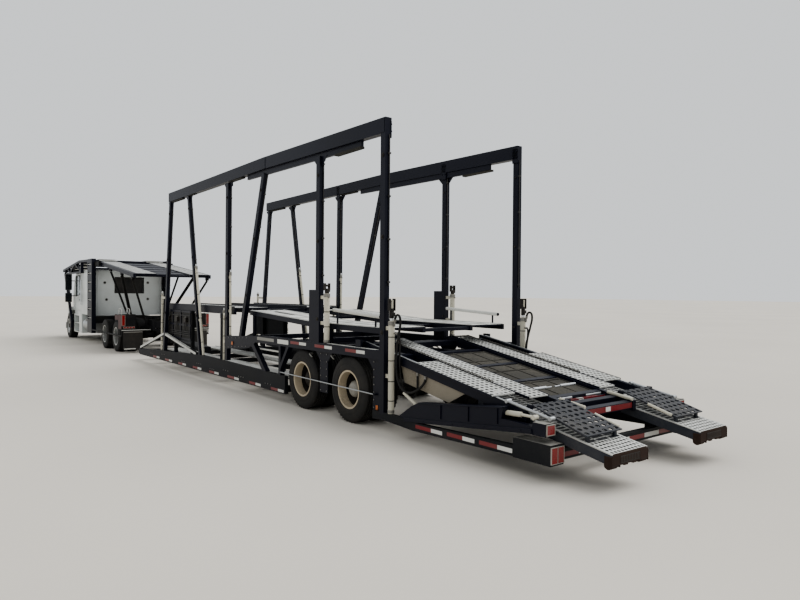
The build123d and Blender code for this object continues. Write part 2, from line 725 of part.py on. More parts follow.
def fender_plan(inset):
    """The fender's outline from above as a tall solid, moved in by the inset."""
    i = inset
    plan = [
        (HOOD_REAR_X - 30, 0),
        (HOOD_REAR_X - 30, FENDER_Y - i),
        (HOOD_NOSE_X - 450, FENDER_Y - i),
        (HOOD_NOSE_X - 200 - i * 0.6, FENDER_Y - 60 - i * 0.8),
        (HOOD_NOSE_X - 110 - i, FENDER_Y - 230 - i * 0.3),
        (HOOD_NOSE_X - 50 - i, 0),
    ]
    outline = make_face(Polyline(*[(x, y, 500) for x, y in plan], close=True))
    return extrude(outline, amount=900, dir=(0, 0, 1))


def save_hood():
    """Hood and fenders in one moulding, open underneath and at the back."""
    wall = 35.0
    half = 850.0
    outer = side_plate(hood_profile(0), -half, half)
    edges = outer.edges().filter_by(lambda e: abs(e.center().Y) > half - 1 and e.center().Z > 1300)
    outer = fillet(edges, 110)
    inner_points = hood_profile(wall)
    inner_points[0] = (HOOD_REAR_X - 20, 1000)
    inner_points[1] = (HOOD_REAR_X - 20, inner_points[1][1])
    inner_points[5] = (inner_points[5][0], 700)
    inner_points[6] = (HOOD_LOW_X - 80, 700)
    inner_points[7] = (HOOD_LOW_X - 80, 1000)
    inner = side_plate(inner_points, -half + wall, half - wall)
    grille_hole = block(HOOD_NOSE_X - 100, HOOD_NOSE_X + 50, *GRILLE_Y, *GRILLE_Z)
    shell = outer - inner - grille_hole
    fender_y = (half - 10, FENDER_Y)
    fender_points = [
        (HOOD_REAR_X, 1075),
        (HOOD_REAR_X, 1200),
        (HOOD_REAR_X + 655, 1190),
        (HOOD_NOSE_X - 220, 1080),
        (HOOD_NOSE_X - 120, 900),
        (HOOD_NOSE_X - 110, 700),
        (HOOD_LOW_X - 160, 700),
    ]
    fender = side_plate(fender_points, *fender_y) & fender_plan(0)
    body_form = fender
    lip = 40.0
    fender_hollow = [
        (HOOD_REAR_X - 20, 600),
        (HOOD_REAR_X - 20, 1200 - lip),
        (HOOD_REAR_X + 655, 1190 - lip),
        (HOOD_NOSE_X - 220 - lip, 1080 - lip),
        (HOOD_NOSE_X - 120 - lip, 880),
        (HOOD_NOSE_X - 110 - lip, 600),
    ]
    hollow = side_plate(fender_hollow, fender_y[0] - 20, fender_y[1]) & fender_plan(lip)
    arch = rod((STEER_AXLE_X, 0, TRACTOR_TYRE_R), (STEER_AXLE_X, 1400, TRACTOR_TYRE_R), TRACTOR_TYRE_R + 62)
    reach = math.hypot(TRACTOR_TYRE_R, TRACTOR_OUTER_Y - KINGPIN_Y) + SWING_GAP
    swing = Solid.make_cylinder(reach, 2 * TRACTOR_TYRE_R + SWING_GAP, Plane((STEER_AXLE_X, KINGPIN_Y, 0)))
    fender = fender - hollow - arch - swing
    arm = side_bar((HOOD_PIVOT[0] - 10, HOOD_PIVOT[1] - 10), (HOOD_NOSE_X - 15, 790), 44,
                   RAIL_Y[1] + SWING_GAP, RAIL_Y[1] + SWING_GAP + 20)
    pin = rod((HOOD_PIVOT[0], RAIL_Y[1] - 38, HOOD_PIVOT[1]),
              (HOOD_PIVOT[0], RAIL_Y[1] + SWING_GAP + 10, HOOD_PIVOT[1]), HOOD_PIN_R)
    save("hood", fuse([shell, fender, mirrored(fender)] + pair(arm) + pair(pin)))
    slats = []
    for index in range(7):
        z = GRILLE_Z[0] + 25 + index * (GRILLE_Z[1] - GRILLE_Z[0] - 50) / 6
        slats.append(block(HOOD_NOSE_X - 30, HOOD_NOSE_X + 5, GRILLE_Y[0] + SEAT_GAP, GRILLE_Y[1] - SEAT_GAP, z - 14, z + 14))
    bars = [block(HOOD_NOSE_X - 34, HOOD_NOSE_X - 16, y - 12, y + 12, GRILLE_Z[0] + 5, GRILLE_Z[1] - 5)
            for y in (-400, 0, 400)]
    save("grille", fuse(slats + bars))
    lamp = block(HOOD_NOSE_X - 270, HOOD_NOSE_X - 60, 870, 1070, 860, 1020)
    lamp = lamp - body_form - outer - swing
    save("headlamps", *pair(max(lamp.solids(), key=lambda s: s.volume)))


GRILLE_Y = (-620.0, 620.0)
GRILLE_Z = (800.0, 1220.0)


def save_mirrors():
    """A two-glass mirror on an arm at each front corner of the cab."""
    x = DOOR_FRONT_X + 70
    inner_y = CAB_HALF_W + 112
    stem_y = (inner_y + 40, inner_y + 70)
    arm_top = block(x, x + 30, CAB_HALF_W - 10, stem_y[1], 2160, 2190)
    arm_low = block(x, x + 30, CAB_HALF_W - 10, stem_y[1], 1600, 1630)
    stem = block(x, x + 30, *stem_y, 1500, 2300)
    head = block(x - 60, x + 20, inner_y, inner_y + 218, 1830, 2430)
    low_head = block(x - 60, x + 20, inner_y, inner_y + 218, 1380, 1720)
    frame = fuse([arm_top, arm_low, stem, head, low_head]) - side_plate(cab_profile(0), 0, CAB_HALF_W)
    save("mirrors", *pair(max(frame.solids(), key=lambda s: s.volume)))


# Head rack


def rack_line(x):
    """Height of the rack's deck at x."""
    if x <= RACK_KNEE_X:
        return RACK_TOP_Z + (RACK_KNEE_Z - RACK_TOP_Z) * (x - RACK_POST_X[1]) / (RACK_KNEE_X - RACK_POST_X[1])
    return RACK_KNEE_Z + (RACK_NOSE_Z - RACK_KNEE_Z) * (x - RACK_KNEE_X) / (FRONT_TIP_X - RACK_KNEE_X)


def save_rack():
    """Posts, side trusses, cross tubes and legs of the head rack, and its deck."""
    x0, x1 = RACK_POST_X
    y0, y1 = RACK_POST_Y
    post = block(x0, x1, y0, y1, 390, RACK_TOP_Z)
    for z in (900, 1200, 1500, 1800, 2100, 2400, 2700):
        post = post - block(x0 + 90, x1 - 90, y1 - 30, y1 + 10, z - 45, z + 45)
    truss = [
        side_bar((x1 - 10, RACK_TOP_Z - 40), (RACK_KNEE_X, RACK_KNEE_Z - 40), 80, *RACK_SIDE_Y),
        side_bar((RACK_KNEE_X, RACK_KNEE_Z - 40), (FRONT_TIP_X, RACK_NOSE_Z - 40), 80, *RACK_SIDE_Y),
        side_bar((RACK_KNEE_X - 300, RACK_LOW_Z + 30), (FRONT_TIP_X - 350, RACK_LOW_Z + 30), 60, *RACK_SIDE_Y),
        side_bar((RACK_KNEE_X - 270, RACK_LOW_Z + 20), (RACK_KNEE_X - 270, RACK_KNEE_Z - 60), 60, *RACK_SIDE_Y),
        side_bar((FRONT_TIP_X - 380, RACK_LOW_Z + 20), (FRONT_TIP_X - 380, RACK_NOSE_Z - 20), 60, *RACK_SIDE_Y),
        side_bar((RACK_KNEE_X - 250, RACK_LOW_Z + 40), (19400, 2800), 45, *RACK_SIDE_Y),
        side_bar((19400, 2790), (20250, RACK_LOW_Z + 30), 45, *RACK_SIDE_Y),
        side_bar((20250, RACK_LOW_Z + 40), (20800, 2690), 45, *RACK_SIDE_Y),
    ]
    truss = fuse(truss)
    front = block(FRONT_TIP_X - 60, FRONT_TIP_X, -RACK_SIDE_Y[1], RACK_SIDE_Y[1], RACK_NOSE_Z - 100, RACK_NOSE_Z)
    truss_end = truss & block(0, FRONT_TIP_X, -2000, 2000, 0, 4000)
    cross = [front]
    for x in (16850.0, 17700.0, 18600.0, 19500.0, 20400.0, 21100.0):
        z = rack_line(x) - PLATE_T
        cross.append(block(x - 40, x + 40, -RACK_SIDE_Y[0] - 2, RACK_SIDE_Y[0] + 2, z - 80, z))
    back = block(x0 + 60, x1 - 60, -y0, y0, RACK_TOP_Z - 160, RACK_TOP_Z - 40)
    leg_top = (FRONT_TIP_X - 440, RACK_LOW_Z + 30)
    leg_foot = (sum(RACK_LEG_FOOT_X) / 2, RACK_LEG_FOOT_Z[1])
    leg = fuse([
        side_bar(leg_top, leg_foot, 100, *RACK_LEG_Y),
        block(*RACK_LEG_FOOT_X, *RACK_LEG_Y, RACK_LEG_FOOT_Z[0], RACK_LEG_FOOT_Z[1] + 30),
    ])
    runs = []
    for a, b in ((x0 + 20, RACK_KNEE_X), (RACK_KNEE_X, FRONT_TIP_X - 60)):
        start = (a, rack_line(a) - PLATE_T * 1.5)
        end = (b, rack_line(b) - PLATE_T * 1.5)
        runs.append(side_bar(start, end, PLATE_T, 480, 1050))
    runways = pair(fuse(runs))
    steel = fuse([truss_end, mirrored(truss_end)] + cross + [back] + pair(post) + pair(leg))
    save("rack_frame", steel - runways[0] - runways[1])
    save("rack_runways", *runways)


DECK2_FRONT = (15950.0, 2700.0)
DECK2_REAR = (12130.0, 2250.0)
DECK2_SIDE_Y = (HALF_WIDTH - 255.0, HALF_WIDTH - 175.0)
DECK2_PIN_R = 25.0


def deck2_side():
    """The left-hand side beam of the tractor's deck."""
    (fx, fz), (rx, rz) = DECK2_FRONT, DECK2_REAR
    return side_bar((fx + 300, fz + 35), (rx, rz), 110, *DECK2_SIDE_Y)


def save_tractor_deck():
    """The tilting deck behind the cab, on its pivots at the rack posts."""
    (fx, fz), (rx, rz) = DECK2_FRONT, DECK2_REAR
    sides = deck2_side()
    sides = sides - rod((fx, DECK2_SIDE_Y[0] - 40, fz), (fx, DECK2_SIDE_Y[1] + 80, fz), DECK2_PIN_R + PIN_CLEARANCE)
    run = side_bar((fx + 290, fz + 74), (rx, rz + 45), PLATE_T, 480, DECK2_SIDE_Y[0] + 1)
    panel = side_bar((fx - 300, fz + 10), (rx + 60, rz + 25), 20, -481, 481)
    cross = []
    for share in (0.02, 0.25, 0.5, 0.75, 0.97):
        x = fx + (rx - fx) * share
        z = fz + (rz - fz) * share
        cross.append(block(x - 40, x + 40, -DECK2_SIDE_Y[0] - 1, DECK2_SIDE_Y[0] + 1, z - 40, z + 20))
    save("tractor_deck", fuse(pair(sides) + pair(run) + [panel] + cross))
    bracket = block(fx - 70, RACK_POST_X[0], DECK2_SIDE_Y[1] + 10, DECK2_SIDE_Y[1] + 80, fz - 70, fz + 80)
    pin = rod((fx, DECK2_SIDE_Y[0] + 2, fz), (fx, DECK2_SIDE_Y[1] + 30, fz), DECK2_PIN_R)
    pivot = fuse([bracket, pin])
    # strut foot x, strut head x, radius
    table = [(13000.0, 12330.0, 30.0), (14460.0, 13480.0, 45.0), (14740.0, 14820.0, 30.0)]
    struts = []
    for foot_x, head_x, radius in table:
        slope = (rz - fz) / (rx - fx)
        head_z = fz + slope * (head_x - fx) - 110
        strut = rod((foot_x, 540, RAIL_Z[1] - 60), (head_x, DECK2_SIDE_Y[0] + 40, head_z - radius), radius)
        foot = block(foot_x - 90, foot_x + 90, RAIL_Y[1], 580, RAIL_Z[1] - 130, RAIL_Z[1] + 20)
        pad = block(head_x - 60, head_x + 60, DECK2_SIDE_Y[0] + 5, DECK2_SIDE_Y[1] - 5, head_z - 20, head_z + 110)
        lowered = Pos(0, 0, -SEAT_GAP) * deck2_side()
        above = block(rx, fx, DECK2_SIDE_Y[0] - 40, DECK2_SIDE_Y[1] + 80, fz + slope * (head_x - fx), fz + 200)
        pad = pad - lowered - above
        pad = min(pad.solids(), key=lambda s: s.center().Z)
        struts.append(fuse([strut, foot, pad]))
    both = pair(pivot)
    for strut in struts:
        both.extend(pair(strut))
    save("deck_struts", *both)


# Trailer frame

SILL_POINTS = [
    (2690.0, 160.0),
    (10800.0, 150.0),
    (10930.0, 180.0),
    (10930.0, 300.0),
    (6350.0, 490.0),
    (2690.0, 450.0),
]
SILL_CROSS_X = (2900.0, 4300.0, 5700.0, 7400.0, 8500.0, 9700.0, 10750.0)


def sill():
    """The left-hand low side sill."""
    return side_plate(SILL_POINTS, HALF_WIDTH - SILL_T, HALF_WIDTH)


def tongue():
    """The neck from the low frame to the hitch, with the pin under its end."""
    points = [
        (9650.0, 262.0),
        (10700.0, 250.0),
        (10930.0, 200.0),
        (11200.0, 200.0),
        (11620.0, TONGUE_Z),
        (12050.0, TONGUE_Z),
        (12050.0, 640.0),
        (11350.0, 640.0),
        (10900.0, 430.0),
        (9650.0, 360.0),
    ]
    neck = side_plate(points, -170, 170)
    pin = Solid.make_cylinder(HITCH_PIN_R, TONGUE_Z - HITCH_HEAD_Z[0] + 20,
                              Plane((HITCH_X, 0, HITCH_HEAD_Z[0] - 15)))
    return fuse([neck, pin])


def low_brace():
    """The left-hand brace over the low sill, up to its knee at the front post and down again."""
    brace_y = (HALF_WIDTH - SILL_T, HALF_WIDTH - 8)
    knee = (8880, 800)
    return fuse([side_bar((10840, 330), knee, 60, *brace_y), side_bar(knee, (6700, 478), 60, *brace_y)])


def save_trailer_low():
    """The low side sills with their cross-members, braces, deck stands and tongue."""
    parts = pair(sill())
    for x in SILL_CROSS_X:
        parts.append(block(x - 50, x + 50, -HALF_WIDTH + SILL_T - 2, HALF_WIDTH - SILL_T + 2, 160, 262))
    for x in FRONT_STANDS_X:
        parts.extend(pair(block(x - 35, x + 35, 1085, 1155, 260, FRONT_DECK_Z - FRONT_DECK_T - SEAT_GAP)))
    parts.extend(pair(low_brace()))
    panel = block(7290, FRONT_DECK_X[1], 1153, 1173, 700, FRONT_DECK_Z - FRONT_DECK_T - SEAT_GAP)
    parts.extend(pair(panel))
    for number in (4, 5, 6):
        parts = [part - post_shape(number) - mirrored(post_shape(number)) for part in parts]
    save("trailer_low_frame", fuse(parts + [tongue()]))
    runway = block(2980, 10650, 330, 690, 262, 285)
    save("belly_runways", *pair(runway))


def mid_side():
    """The left-hand side beam over the wheels."""
    y0, y1 = HALF_WIDTH - SILL_T - 20, HALF_WIDTH
    beam_points = [
        (0.0, MID_BOTTOM_Z),
        (3800.0, MID_BOTTOM_Z - 20),
        (4100.0, 805.0),
        (MID_FRONT_X, 715.0),
        (MID_FRONT_X, MID_TOP_Z - 105),
        (3300.0, MID_TOP_Z),
        (0.0, MID_TOP_Z),
    ]
    arch_foot = (ARCH_FRONT_X + 35, 420.0)
    side = fuse([
        side_plate(beam_points, y0, y1),
        side_bar((2590.0, MID_BOTTOM_Z + 10), (ARCH_FRONT_X + 35, 560.0), 60, y0, y1),
        side_bar((ARCH_FRONT_X + 35, MID_BOTTOM_Z + 10), arch_foot, 70, y0, y1),
        side_bar(*MID_BRACE, 95, y0, y1),
    ])
    side = side - sill()
    for number in (1, 3, 4):
        side = side - post_shape(number)
    return max(side.solids(), key=lambda s: s.volume)


MID_FRONT_X = 5200.0
ARCH_FRONT_X = 2850.0
WHEEL_PLATE_X = 1562.0
REAR_PLATE_X = (105.0, 306.0)
REAR_PLATE_Z = 170.0
MID_BRACE = ((3950.0, 900.0), (3420.0, 430.0))
SLAT_Z = (530.0, 625.0, 720.0, 815.0)


def slats():
    """The flat bars across the opening ahead of the left-hand wheels."""
    (top_x, top_z), (low_x, low_z) = MID_BRACE
    inner = HALF_WIDTH - SILL_T - 20
    bars = []
    for z in SLAT_Z:
        brace_x = low_x + (top_x - low_x) * (z - low_z) / (top_z - low_z)
        bars.append(block(ARCH_FRONT_X, brace_x, inner - 20, inner + 2, z - 15, z + 15))
    return bars


def save_trailer_mid():
    """The frame over the wheels: side beams, inner rails, wheel plates and guard."""
    parts = pair(mid_side())
    inner = block(160, 4900, *TRAILER_RAIL_Y, *TRAILER_RAIL_Z)
    parts.extend(pair(inner))
    reach = HALF_WIDTH - SILL_T - 18
    parts.append(block(160, 260, -reach, reach, MID_BOTTOM_Z - 85, MID_BOTTOM_Z + 5))
    for x in (WHEEL_PLATE_X, 2885.0, 4200.0):
        parts.append(block(x - 50, x + 50, -reach, reach, MID_BOTTOM_Z - 5, MID_BOTTOM_Z + 75))
    pivot_x, pivot_z = REAR_PIVOT[0], REAR_PIVOT[1] - REAR_PIN_DROP
    lug = block(pivot_x - 60, pivot_x + 60, HALF_WIDTH - SILL_T - 20, HALF_WIDTH - SILL_T + 20,
                MID_TOP_Z - 5, pivot_z + 60)
    lug = lug - rod((pivot_x, 1200, pivot_z), (pivot_x, 1300, pivot_z), REAR_PIN_R + PIN_CLEARANCE)
    side_bore = rod((pivot_x, 1200, pivot_z), (pivot_x, 1300, pivot_z), REAR_PIN_R + PIN_CLEARANCE)
    parts = [part - side_bore - mirrored(side_bore) for part in parts]
    parts.extend(pair(lug))
    for x in MID_STANDS_X:
        stand = block(x - 35, x + 35, 1105, 1145, MID_BOTTOM_Z + 70, mid_deck_z(x) - MID_DECK_T - 40)
        cap = side_plate([(x - 35, mid_deck_z(x) - MID_DECK_T - 45), (x + 35, mid_deck_z(x) - MID_DECK_T - 45),
                          (x + 35, mid_deck_z(x + 35) - MID_DECK_T - SEAT_GAP),
                          (x - 35, mid_deck_z(x - 35) - MID_DECK_T - SEAT_GAP)], 1105, 1145)
        parts.extend(pair(fuse([stand, cap])))
    plate_y = (HALF_WIDTH - 70, HALF_WIDTH - 50)
    plate_x = (WHEEL_PLATE_X - 112, WHEEL_PLATE_X + 112)
    parts.extend(pair(block(*plate_x, *plate_y, 330, MID_BOTTOM_Z + 5)))
    parts.extend(pair(block(*REAR_PLATE_X, *plate_y, REAR_PLATE_Z, MID_BOTTOM_Z + 5)))
    for x, reach in ((plate_x[1], 125), (plate_x[0], -125), (REAR_PLATE_X[1], 125)):
        gusset = side_plate([(x - reach * 0.02, MID_BOTTOM_Z + 5), (x + reach, MID_BOTTOM_Z + 5),
                             (x + reach, MID_BOTTOM_Z - 10), (x - reach * 0.02, MID_BOTTOM_Z - 150)], *plate_y)
        parts.extend(pair(gusset))
    guard_r = 8.0
    guard_y = HALF_WIDTH - guard_r
    guard = rod((ARCH_FRONT_X + 30, guard_y, 500), (200, guard_y, 480), guard_r)
    rear_tab = block(200, 240, HALF_WIDTH - 70, HALF_WIDTH, 470, 490)
    parts.extend(pair(fuse([guard, rear_tab])))
    for bar in slats():
        parts.extend(pair(bar))
    save("trailer_mid_frame", fuse(parts))


FRONT_DECK_X = (5060.0, 9150.0)
FRONT_DECK_Z = 1500.0
FRONT_DECK_T = 130.0
FRONT_STANDS_X = (5700.0, 7400.0, 8500.0)
MID_DECK_LINE = [(4350.0, 1470.0), (2000.0, 1350.0), (200.0, 1345.0)]
MID_DECK_T = 80.0
MID_STANDS_X = (1562.0, 4200.0)
REAR_PIN_R = 30.0
REAR_PIN_DROP = 40.0


def mid_deck_z(x):
    """Height of the mid deck's top at x."""
    front, knee, rear = MID_DECK_LINE
    low, high = (knee, front) if x > knee[0] else (rear, knee)
    return low[1] + (high[1] - low[1]) * (x - low[0]) / (high[0] - low[0])


def lane_frame(x0, x1, z0, z1, depth, width_y):
    """Edge beams under one straight stretch of a left-hand runway lane."""
    beams = []
    y0, y1 = width_y
    for a, b in ((y0, y0 + 50), (y1 - 50, y1)):
        beams.append(side_plate([(x0, z0), (x1, z1), (x1, z1 - depth), (x0, z0 - depth)], a, b))
    return beams


def save_decks():
    """The lifting decks of the trailer: one ahead of the wheels, one over them."""
    lane = (430.0, HALF_WIDTH - 145.0)
    skin = 25.0
    x0, x1 = FRONT_DECK_X
    z = FRONT_DECK_Z
    parts = lane_frame(x0, x1, z - skin, z - skin, FRONT_DECK_T - skin, lane)
    parts.append(block(x0, x1, *lane, z - skin, z))
    both = []
    for part in parts:
        both.extend(pair(part))
    for x in (x0 + 60, (x0 + x1) / 2, x1 - 60):
        both.append(block(x - 40, x + 40, -lane[0] - 50, lane[0] + 50, z - FRONT_DECK_T + 20, z - skin))
    save("front_deck", fuse(both))
    front, knee, rear = MID_DECK_LINE
    both = []
    for a, b in ((knee, front), (rear, knee)):
        for part in lane_frame(a[0], b[0], a[1] - skin, b[1] - skin, MID_DECK_T - skin, lane):
            both.extend(pair(part))
        plate = side_plate([(a[0], a[1]), (b[0], b[1]), (b[0], b[1] - skin), (a[0], a[1] - skin)], *lane)
        both.extend(pair(plate))
    for x in (rear[0] + 60, 1100.0, knee[0] + 20, 3200.0, front[0] - 60):
        top = min(mid_deck_z(x - 40), mid_deck_z(x + 40)) - skin
        both.append(block(x - 40, x + 40, -lane[0] - 50, lane[0] + 50, top - MID_DECK_T + skin + 8, top))
    tube_y = lane[1] - 25
    tube = rod((1500, tube_y, 1555), (300, tube_y, 1490), 24)
    legs = [rod((x, tube_y, mid_deck_z(x) - 15), (x, tube_y, 1490 + (x - 300) * 65 / 1200), 14)
            for x in (420.0, 1380.0)]
    both.extend(pair(fuse([tube] + legs)))
    save("mid_deck", fuse(both))


REAR_PIVOT = (650.0, 1150.0)
REAR_SLOPE = 0.179
REAR_END_X = -2250.0
REAR_TAIL_X = -2450.0
REAR_BEAM = 110.0
RAMP_SLOPE = 0.185
RAMP_TOP_TIP = (REAR_TIP_X, 355.0)
RAMP_FRONT_X = -1500.0
REAR_BEAM_Y = (HALF_WIDTH - 195.0, HALF_WIDTH - 135.0)
RAMP_Y = (508.0, REAR_BEAM_Y[0] - 8.0)
RAMP_T = 100.0
FLIP_PIVOT = (-2265.0, 668.0)
FLIP_PIN_R = 10.0
FLIP_TIP = (-2930.0, 478.0)


def rear_z(x):
    """Height of the rear deck's frame top at x."""
    return REAR_PIVOT[1] + REAR_SLOPE * (x - REAR_PIVOT[0])


def ramp_z(x):
    """Height of a loading ramp's top at x."""
    return RAMP_TOP_TIP[1] + RAMP_SLOPE * (x - RAMP_TOP_TIP[0])


def sloped(x0, x1, top0, top1, depth, y0, y1):
    """A sloping slab given by its top heights at both ends."""
    return side_plate([(x0, top0), (x1, top1), (x1, top1 - depth), (x0, top0 - depth)], y0, y1)


def save_rear_deck():
    """The sloping rear deck with its gratings, ramps and flippers."""
    front_x = REAR_PIVOT[0] + 40
    parts = []
    for end_x, y0, y1 in ((REAR_TAIL_X, 440.0, 500.0), (REAR_END_X, *REAR_BEAM_Y)):
        beam = sloped(end_x, front_x, rear_z(end_x), rear_z(front_x), REAR_BEAM, y0, y1)
        parts.extend(pair(beam))
    middle = sloped(RAMP_FRONT_X + 100, front_x, rear_z(RAMP_FRONT_X + 100), rear_z(front_x), 60, 770, 830)
    parts.extend(pair(middle))
    for x in (560.0, 0.0, -700.0, -1350.0):
        parts.append(sloped(x - 35, x + 35, rear_z(x - 35) - 30, rear_z(x + 35) - 30, 70,
                            -REAR_BEAM_Y[0] - 1, REAR_BEAM_Y[0] + 1))
    for x in (-2000.0, -2215.0, REAR_TAIL_X + 50):
        parts.append(sloped(x - 35, x + 35, rear_z(x - 35) - 10, rear_z(x + 35) - 10, 80, -441, 441))
    floor0 = ramp_z(REAR_END_X) - RAMP_T - SEAT_GAP
    floor1 = ramp_z(-1600.0) - RAMP_T - SEAT_GAP
    parts.extend(pair(sloped(REAR_END_X, -1600.0, floor0, floor1, 10, 499, REAR_BEAM_Y[0] + 1)))
    for y0, y1 in ((485.0, 500.0), (REAR_BEAM_Y[0], REAR_BEAM_Y[0] + 15)):
        web = side_plate([(REAR_END_X, rear_z(REAR_END_X) - 5), (-1600.0, rear_z(-1600.0) - 5),
                          (-1600.0, floor1 - 10), (REAR_END_X, floor0 - 10)], y0, y1)
        ear = side_plate([(REAR_END_X + 60, rear_z(REAR_END_X) - 40), (FLIP_PIVOT[0] - 25, FLIP_PIVOT[1] - 40),
                          (FLIP_PIVOT[0] - 25, FLIP_PIVOT[1] + 18), (FLIP_PIVOT[0] + 40, FLIP_PIVOT[1] + 18)],
                         y0, y1)
        parts.extend(pair(web))
        parts.extend(pair(ear))
    pin = rod((FLIP_PIVOT[0], 490, FLIP_PIVOT[1]), (FLIP_PIVOT[0], REAR_BEAM_Y[0] + 10, FLIP_PIVOT[1]), FLIP_PIN_R)
    parts.extend(pair(pin))
    hub_z = REAR_PIVOT[1] - REAR_PIN_DROP
    hub_y = (REAR_BEAM_Y[1] - 10, HALF_WIDTH - SILL_T + 20)
    hub = rod((REAR_PIVOT[0], hub_y[0], hub_z), (REAR_PIVOT[0], hub_y[1], hub_z), REAR_PIN_R)
    parts.extend(pair(hub))
    skirt = side_plate([(-150, rear_z(-150) - REAR_BEAM + 5), (-1350, rear_z(-1350) - REAR_BEAM + 5),
                        (-1060, 535), (-230, 675)], REAR_BEAM_Y[0] + 18, REAR_BEAM_Y[0] + 30)
    parts.extend(pair(skirt))
    panel = sloped(-1950.0, -60.0, rear_z(-1950.0) - 45, rear_z(-60.0) - 45, 8, -441, 441)
    parts.append(panel)
    save("rear_deck", fuse(parts))
    grate_t = 14.0
    inner = sloped(-1980, 640, rear_z(-1980) + grate_t, rear_z(640) + grate_t, grate_t, 480, 790)
    outer = sloped(-1800, -500, rear_z(-1800) + grate_t, rear_z(-500) + grate_t, grate_t, 825, REAR_BEAM_Y[1] + 30)
    save("rear_gratings", *pair(inner), *pair(outer))
    ramp = sloped(REAR_TIP_X, RAMP_FRONT_X, ramp_z(REAR_TIP_X), ramp_z(RAMP_FRONT_X), RAMP_T, *RAMP_Y)
    save_sides("ramp", ramp)
    px, pz = FLIP_PIVOT
    tube_r = FLIP_PIN_R + 9
    flip_y = (RAMP_Y[0] + 8, RAMP_Y[1] - 8)
    plate = side_bar((px - 12, pz + 4), FLIP_TIP, 12, *flip_y)
    tube = rod((px, flip_y[0], pz), (px, flip_y[1], pz), tube_r)
    foot_x = (FLIP_TIP[0] + 30, FLIP_TIP[0] + 60)
    foot = side_plate([(foot_x[0], ramp_z(foot_x[0]) + SEAT_GAP), (foot_x[1], ramp_z(foot_x[1]) + SEAT_GAP),
                       (foot_x[1], FLIP_TIP[1] + 8), (foot_x[0], FLIP_TIP[1] + 4)],
                      flip_y[0] + 44, flip_y[0] + 84)
    far_foot = Pos(0, flip_y[1] - flip_y[0] - 128, 0) * foot
    flipper = fuse([plate, tube, foot, far_foot])
    flipper = flipper - rod((px, RAMP_Y[0], pz), (px, RAMP_Y[1], pz), FLIP_PIN_R + PIN_CLEARANCE)
    save_sides("flipper", max(flipper.solids(), key=lambda s: s.volume))


REAR_SILL_TOP = 275.0
REAR_SILL = [
    (245.0, 165.0),
    (245.0, REAR_SILL_TOP),
    (-300.0, REAR_SILL_TOP),
    (-620.0, 250.0),
    (-2200.0, 290.0),
    (-2200.0, 180.0),
    (-600.0, 150.0),
    (0.0, 180.0),
]
BOOM = [
    (-300.0, REAR_SILL_TOP),
    (-620.0, 250.0),
    (-1000.0, 292.0),
    (-2440.0, 445.0),
    (-2440.0, 515.0),
    (-2030.0, 530.0),
    (-2060.0, 655.0),
    (-700.0, 505.0),
    (-560.0, 440.0),
]
TAIL_BOX_X = (-2670.0, -2200.0)
TAIL_BOX_Y = (HALF_WIDTH - 197.0, HALF_WIDTH)
TAIL_BOX_Z = (170.0, 370.0)


def save_rear_frame():
    """The low rear sills, their cross bars and the tail boxes, booms and lamps."""
    sill_y = (HALF_WIDTH - SILL_T, HALF_WIDTH)
    rear_sill = side_plate(REAR_SILL, *sill_y) - post_shape(1)
    post_tie = block(*REAR_PLATE_X, HALF_WIDTH - 70, HALF_WIDTH - 50, REAR_PLATE_Z, 440)
    parts = pair(rear_sill) + pair(block(*TAIL_BOX_X, *TAIL_BOX_Y, *TAIL_BOX_Z))
    parts = [part - post_tie - mirrored(post_tie) for part in parts]
    inner_y = HALF_WIDTH - SILL_T + 2
    parts.append(block(-2590, -2510, -TAIL_BOX_Y[0] - 2, TAIL_BOX_Y[0] + 2, 180, 290))
    parts.append(block(-450, -370, -inner_y, inner_y, 180, REAR_SILL_TOP - 25))
    save("rear_frame", fuse(parts))
    boom = side_plate(BOOM, HALF_WIDTH - 90, HALF_WIDTH - 5)
    rest_x = (-1950.0, -1850.0)
    rest_top = [rear_z(x) - REAR_BEAM - SEAT_GAP for x in rest_x]
    rest = side_plate([(rest_x[0], 500), (rest_x[1], 500), (rest_x[1], rest_top[1]), (rest_x[0], rest_top[0])],
                      HALF_WIDTH - 175, HALF_WIDTH - 88)
    boom = fuse([boom, rest])
    boom = boom - side_plate(REAR_SILL, *sill_y)
    boom = max(boom.solids(), key=lambda s: s.volume)
    light_box = block(-2600, -2440, HALF_WIDTH - 155, HALF_WIDTH - 5, 438, 560)
    save("side_booms", *pair(fuse([boom, light_box])))
    lamps = []
    for y in (TAIL_BOX_Y[0] + 10, TAIL_BOX_Y[0] + 104):
        lamps.append(block(TAIL_BOX_X[0] - 10, TAIL_BOX_X[0], y, y + 85, 195, 345))
    lamps.append(block(-2610, -2600, HALF_WIDTH - 135, HALF_WIDTH - 25, 455, 545))
    both = []
    for lamp in lamps:
        both.extend(pair(lamp))
    save("tail_lamps", *both)


# foot x and z, head x and z, radius, neck length, straps and post number on the left
CYLINDERS = [
    (-97.0, REAR_SILL_TOP, -97.0, 1454.0, 40.0, 267.0, 2, 1),
    (1482.0, MID_TOP_Z, 1482.0, 1797.0, 42.0, 60.0, 2, 2),
    (5310.0, 440.0, 5310.0, 1455.0, 24.0, 40.0, 2, 4),
    (5010.0, MID_TOP_Z - 120, 5015.0, 2190.0, 20.0, 40.0, 2, 4),
    (6390.0, 440.0, 6845.0, 2355.0, 26.0, 40.0, 2, 5),
    (9150.0, 350.0, 9120.0, 1768.0, 26.0, 40.0, 1, 6),
]


